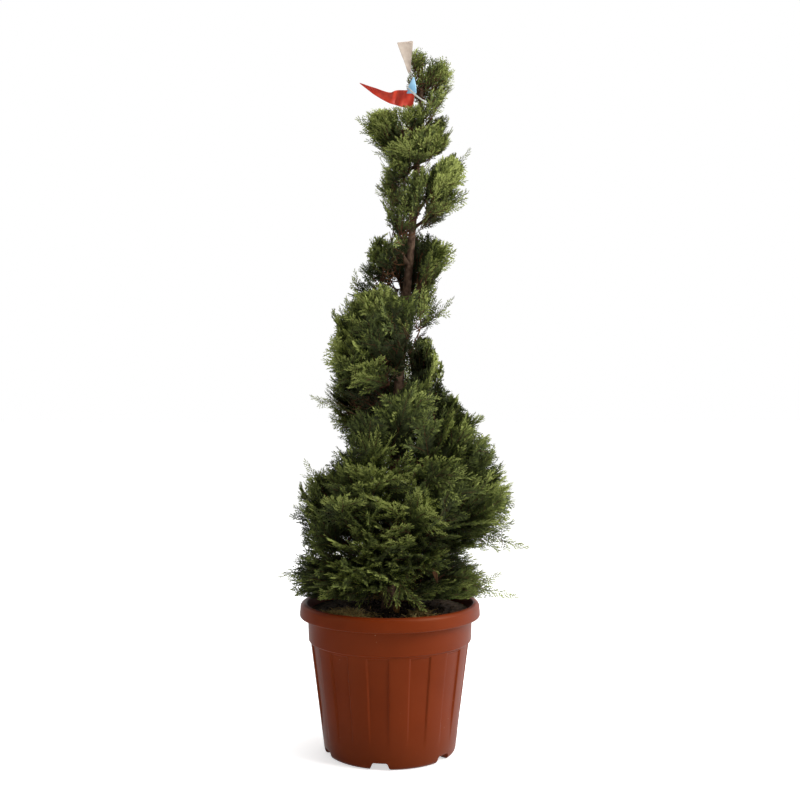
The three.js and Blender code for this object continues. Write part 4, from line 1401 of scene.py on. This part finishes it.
def grow_mass(number, first, last, stem_points, stem_size, wanted):
    """All sprays of one mass, as a pile of leaves and a pile of twigs."""
    luck = np.random.default_rng(400 + number)
    leaves, twigs = Pile(), Pile()
    twigs.add(*tube(stem_points, np.linspace(1, 0.5, len(stem_points)) * stem_size, 6), 0)
    arms = mass_arms(luck, first, last, stem_points)
    for arm in arms:
        twigs.add(*tube(arm, np.linspace(0.45, 0.24, ARM_STEPS) * stem_size, 5), 0)
    forks = np.vstack([arm[2:] for arm in arms])
    grown = fingers = 0
    for _ in range(wanted * 8):
        if grown >= wanted:
            break
        root, turn, depth, share = spray_start(luck, first, last)
        drop = CROWN_TOP - root[2]
        tilt = spray_tilt(drop, depth) + luck.uniform(-0.35, 0.35)
        roll = luck.uniform(-0.6, 0.6) if luck.random() < 0.62 else luck.uniform(-1.55, 1.55)
        axes = spray_axes(outward_at(turn), tilt, luck.uniform(-0.85, 0.85), roll)
        lump = noise.noise(root * LUMP_SCALE)
        spare = min(luck.uniform(*SPARE) + LUMP_SPARE * lump, MOST_SPARE)
        room = (spare - share) * float(crown_reach(turn, drop)) / max(math.cos(tilt), 0.35)
        length = float(np.clip(room * luck.uniform(0.85, 1.15), *SPRAY_LENGTH))
        # The spray's painted light: more at the top of the crown, painted shade at its foot, more where its
        # lump reaches out, and some luck.
        light = BASE_LIGHT + TOP_LIGHT * math.exp(-drop / TOP_FADE) - LOW_SHADE * (drop / SKIRT) ** 4
        light += 0.28 * luck.normal() + LUMP_LIGHT * lump
        space = partial(space_of, first=first, last=last, spare=spare)
        added = grow_spray(leaves, twigs, luck, root, axes, length, space, light)
        if added >= FEWEST_FINGERS:
            grown += 1
            fingers += added
            join_to_arms(twigs, forks, root, axes[0], length)
    for turn, depth, share, length, tilt, lean in STRAYS:
        if not first < turn < last:
            continue
        root = band_point(turn, depth, share)
        axes = spray_axes(outward_at(turn), math.radians(tilt), lean, 1.1)
        space = partial(space_of, first=first, last=last, spare=STRAY_SPARE)
        for length_share, turned in ((1.0, 0), (0.66, 0.20), (0.60, -0.24)):
            heading = axes[0] + turned * axes[1]
            heading /= np.linalg.norm(heading)
            across = np.cross(axes[2], heading)
            stray = (heading, across, axes[2])
            reach = length / 1000 * length_share
            fingers += grow_spray(leaves, twigs, luck, root, stray, reach, space, 0.1, STRAY_SLIMNESS)
        join_to_arms(twigs, forks, root, axes[0], length / 1000)
    if number == MASSES - 1:
        for root, tip in np.array(HANGING):
            reach = float(np.linalg.norm(tip - root))
            level_run = math.hypot(*(tip - root)[:2])
            outward = np.array([*(tip - root)[:2], 0]) / level_run
            axes = spray_axes(outward, math.atan2(tip[2] - root[2], level_run), 0, 0.9)
            fingers += grow_spray(leaves, twigs, luck, root, axes, reach, loose_space, 0.3, STRAY_SLIMNESS)
            join_to_arms(twigs, forks, root, axes[0], reach)
    return leaves, twigs, grown, fingers


def mass_weight(first, last):
    """A mass gets its share of the sprays by the area of its outer side."""
    turn = (first + last) / 2
    level = (band_top(turn) + band_foot(turn)) / 2
    reach = float(crown_reach(turn, level))
    height = float(band_foot(turn) - band_top(turn)) + 0.6 * reach
    return ((last - first) * TAU * reach * height) ** CROWDED


# %% All masses
TOP_SHARE = 0.06  # of all other masses' weight, for the tuft at the top
LEADER_SHORT, LEADER_SLIM = 0.022, 0.9  # the tuft's stem ends below its top and is a little thinner

spans = list(zip(turns, turns[1:]))
weights = [mass_weight(first, last) for first, last in spans]
top_weight = TOP_SHARE * sum(weights)
total_fingers = total_faces = 0
for number, (first, last) in enumerate([*spans, (SPIRAL_START - 1, SPIRAL_START)]):
    is_top = number == MASSES
    weight = top_weight if is_top else weights[number]
    wanted = round(SPRAYS * weight / (sum(weights) + top_weight))
    if is_top:
        stem_points = stem_centre(np.linspace(TRUNK_TIP, CROWN_TOP - LEADER_SHORT, 6))
        radius = TRUNK_TIP_RADIUS * LEADER_SLIM
    else:
        stem_points, radius = mass_stem((first + last) / 2)
    leaves, twigs, grown, fingers = grow_mass(number, first, last, stem_points, radius, wanted)
    label = "top" if is_top else str(number + 1)
    leaf_piece = leaves.mesh("sprays_" + label, leaf_materials)
    twig_piece = twigs.mesh("twigs_" + label, [TWIG])
    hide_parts("foliage_" + label)
    total_fingers += fingers
    total_faces += len(leaf_piece.data.polygons)
    print(f"mass {label}: {grown} sprays of {wanted}, {fingers} fingers")
print(total_fingers, "fingers,", 2 * total_faces, "leaf triangles")

# %% [markdown]
# ## The loop label
#
# A printed plastic strip is looped round the leader and has come half undone. Its red end is drawn
# out to the left and twisted, a blue stretch shows beside the leader, and its plain back stands up
# above. Film is hardly thicker than paper, but it needs two sides and a rim, so each strip is a sheet
# of faces laid along its curve and then thickened.

# %% A strip of film along a curve
LOOP_Z = 1.230
FILM = 0.0006
FILM_COLUMNS = 7
RIPPLES, RIPPLE_SKEW = 26, 2.4  # radians along the whole strip and across it


def film_strip(knots, widths, side, steps, curl, ripple=0.0):
    """A strip through knots. Its width is given at shares of its length, its edges curl, and it may
    ripple by some metres out of its plane."""
    centres = smooth_curve(knots, steps)
    along = np.gradient(centres, axis=0)
    along /= np.linalg.norm(along, axis=1)[:, None]
    side = np.asarray(side, float)
    across = side - along * (along @ side)[:, None]
    across /= np.linalg.norm(across, axis=1)[:, None]
    through = np.cross(along, across)
    shares = np.linspace(0, 1, steps)
    width = np.interp(shares, *zip(*widths))
    rows = []
    for column in np.linspace(-0.5, 0.5, FILM_COLUMNS):
        bulge = curl * (0.25 - column**2) * width
        bulge += ripple * np.sin(RIPPLES * shares + RIPPLE_SKEW * column) * (1 - shares)
        rows.append(centres + across * (width * column)[:, None] + through * bulge[:, None])
    grid = np.stack(rows, axis=1)
    mesh = bpy.data.meshes.new("film")
    quads = []
    for step in range(steps - 1):
        for column in range(FILM_COLUMNS - 1):
            corner = step * FILM_COLUMNS + column
            above = corner + FILM_COLUMNS
            quads.append([corner, corner + 1, above + 1, above])
    mesh.from_pydata(grid.reshape(-1, 3).tolist(), [], quads)
    strip = bpy.data.objects.new("film", mesh)
    bpy.context.scene.collection.objects.link(strip)
    thicken = strip.modifiers.new("thicken", "SOLIDIFY")
    thicken.thickness = FILM
    thicken.offset = 0
    rounded_off(strip, 1)
    return strip


def label_point(x, y, z):
    return stem_centre(LOOP_Z) + np.array([x, y, z])


# %% Label strips
tail = film_strip(
    [
        label_point(-0.013, -0.034, -0.012),
        label_point(-0.042, -0.038, -0.009),
        label_point(-0.060, -0.038, -0.008),
        label_point(-0.087, -0.038, 0.004),
        label_point(-0.1145, -0.034, 0.020),
    ],
    [(0, 0.0350), (0.3, 0.0275), (0.5, 0.0185), (0.75, 0.0120), (1, 0.0012)],
    (0.1, -0.3, 1), 34, 0.35, 0.0034,
)
settle(tail, "label_tail_film", LABEL_RED, 40)
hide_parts("label_tail")
band = film_strip(
    [
        label_point(-0.018, -0.044, -0.003),
        label_point(-0.0165, -0.043, 0.012),
        label_point(-0.014, -0.036, 0.030),
    ],
    [(0, 0.020), (0.5, 0.015), (1, 0.003)], (1, -0.3, 0), 12, -0.3,
)
settle(band, "label_band_film", LABEL_BLUE, 40)
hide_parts("label_band")
flap = film_strip(
    [
        label_point(-0.022, -0.018, 0.044),
        label_point(-0.0255, -0.015, 0.072),
        label_point(-0.030, -0.015, 0.104),
    ],
    [(0, 0.005), (0.4, 0.0138), (1, 0.032)], (1, 0.1, 0), 14, 0.16, 0.0006,
)
settle(flap, "label_flap_film", LABEL_BACK, 40)
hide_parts("label_flap")
edge = film_strip(
    [
        label_point(-0.028, -0.050, 0.010),
        label_point(-0.0093, -0.056, -0.010),
        label_point(0.0134, -0.054, -0.025),
    ],
    [(0, 0.0018), (0.4, 0.0040), (1, 0.0018)], (0.6, -0.5, 0.6), 16, 0.1,
)
settle(edge, "label_edge_film", LABEL_EDGE, 40)

# %% [markdown]
# ## Sizes and finish
#
# The dressed plant has to keep to the solid model's box, so both boxes are printed.

# %% Print both boxes
low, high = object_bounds()
sizes = {"cad": [list(cad_low), list(cad_high)], "visual": [list(low), list(high)]}
print("solid box", [round(v, 3) for v in (*cad_low, *cad_high)])
print("dressed box", [round(v, 3) for v in (*low, *high)])
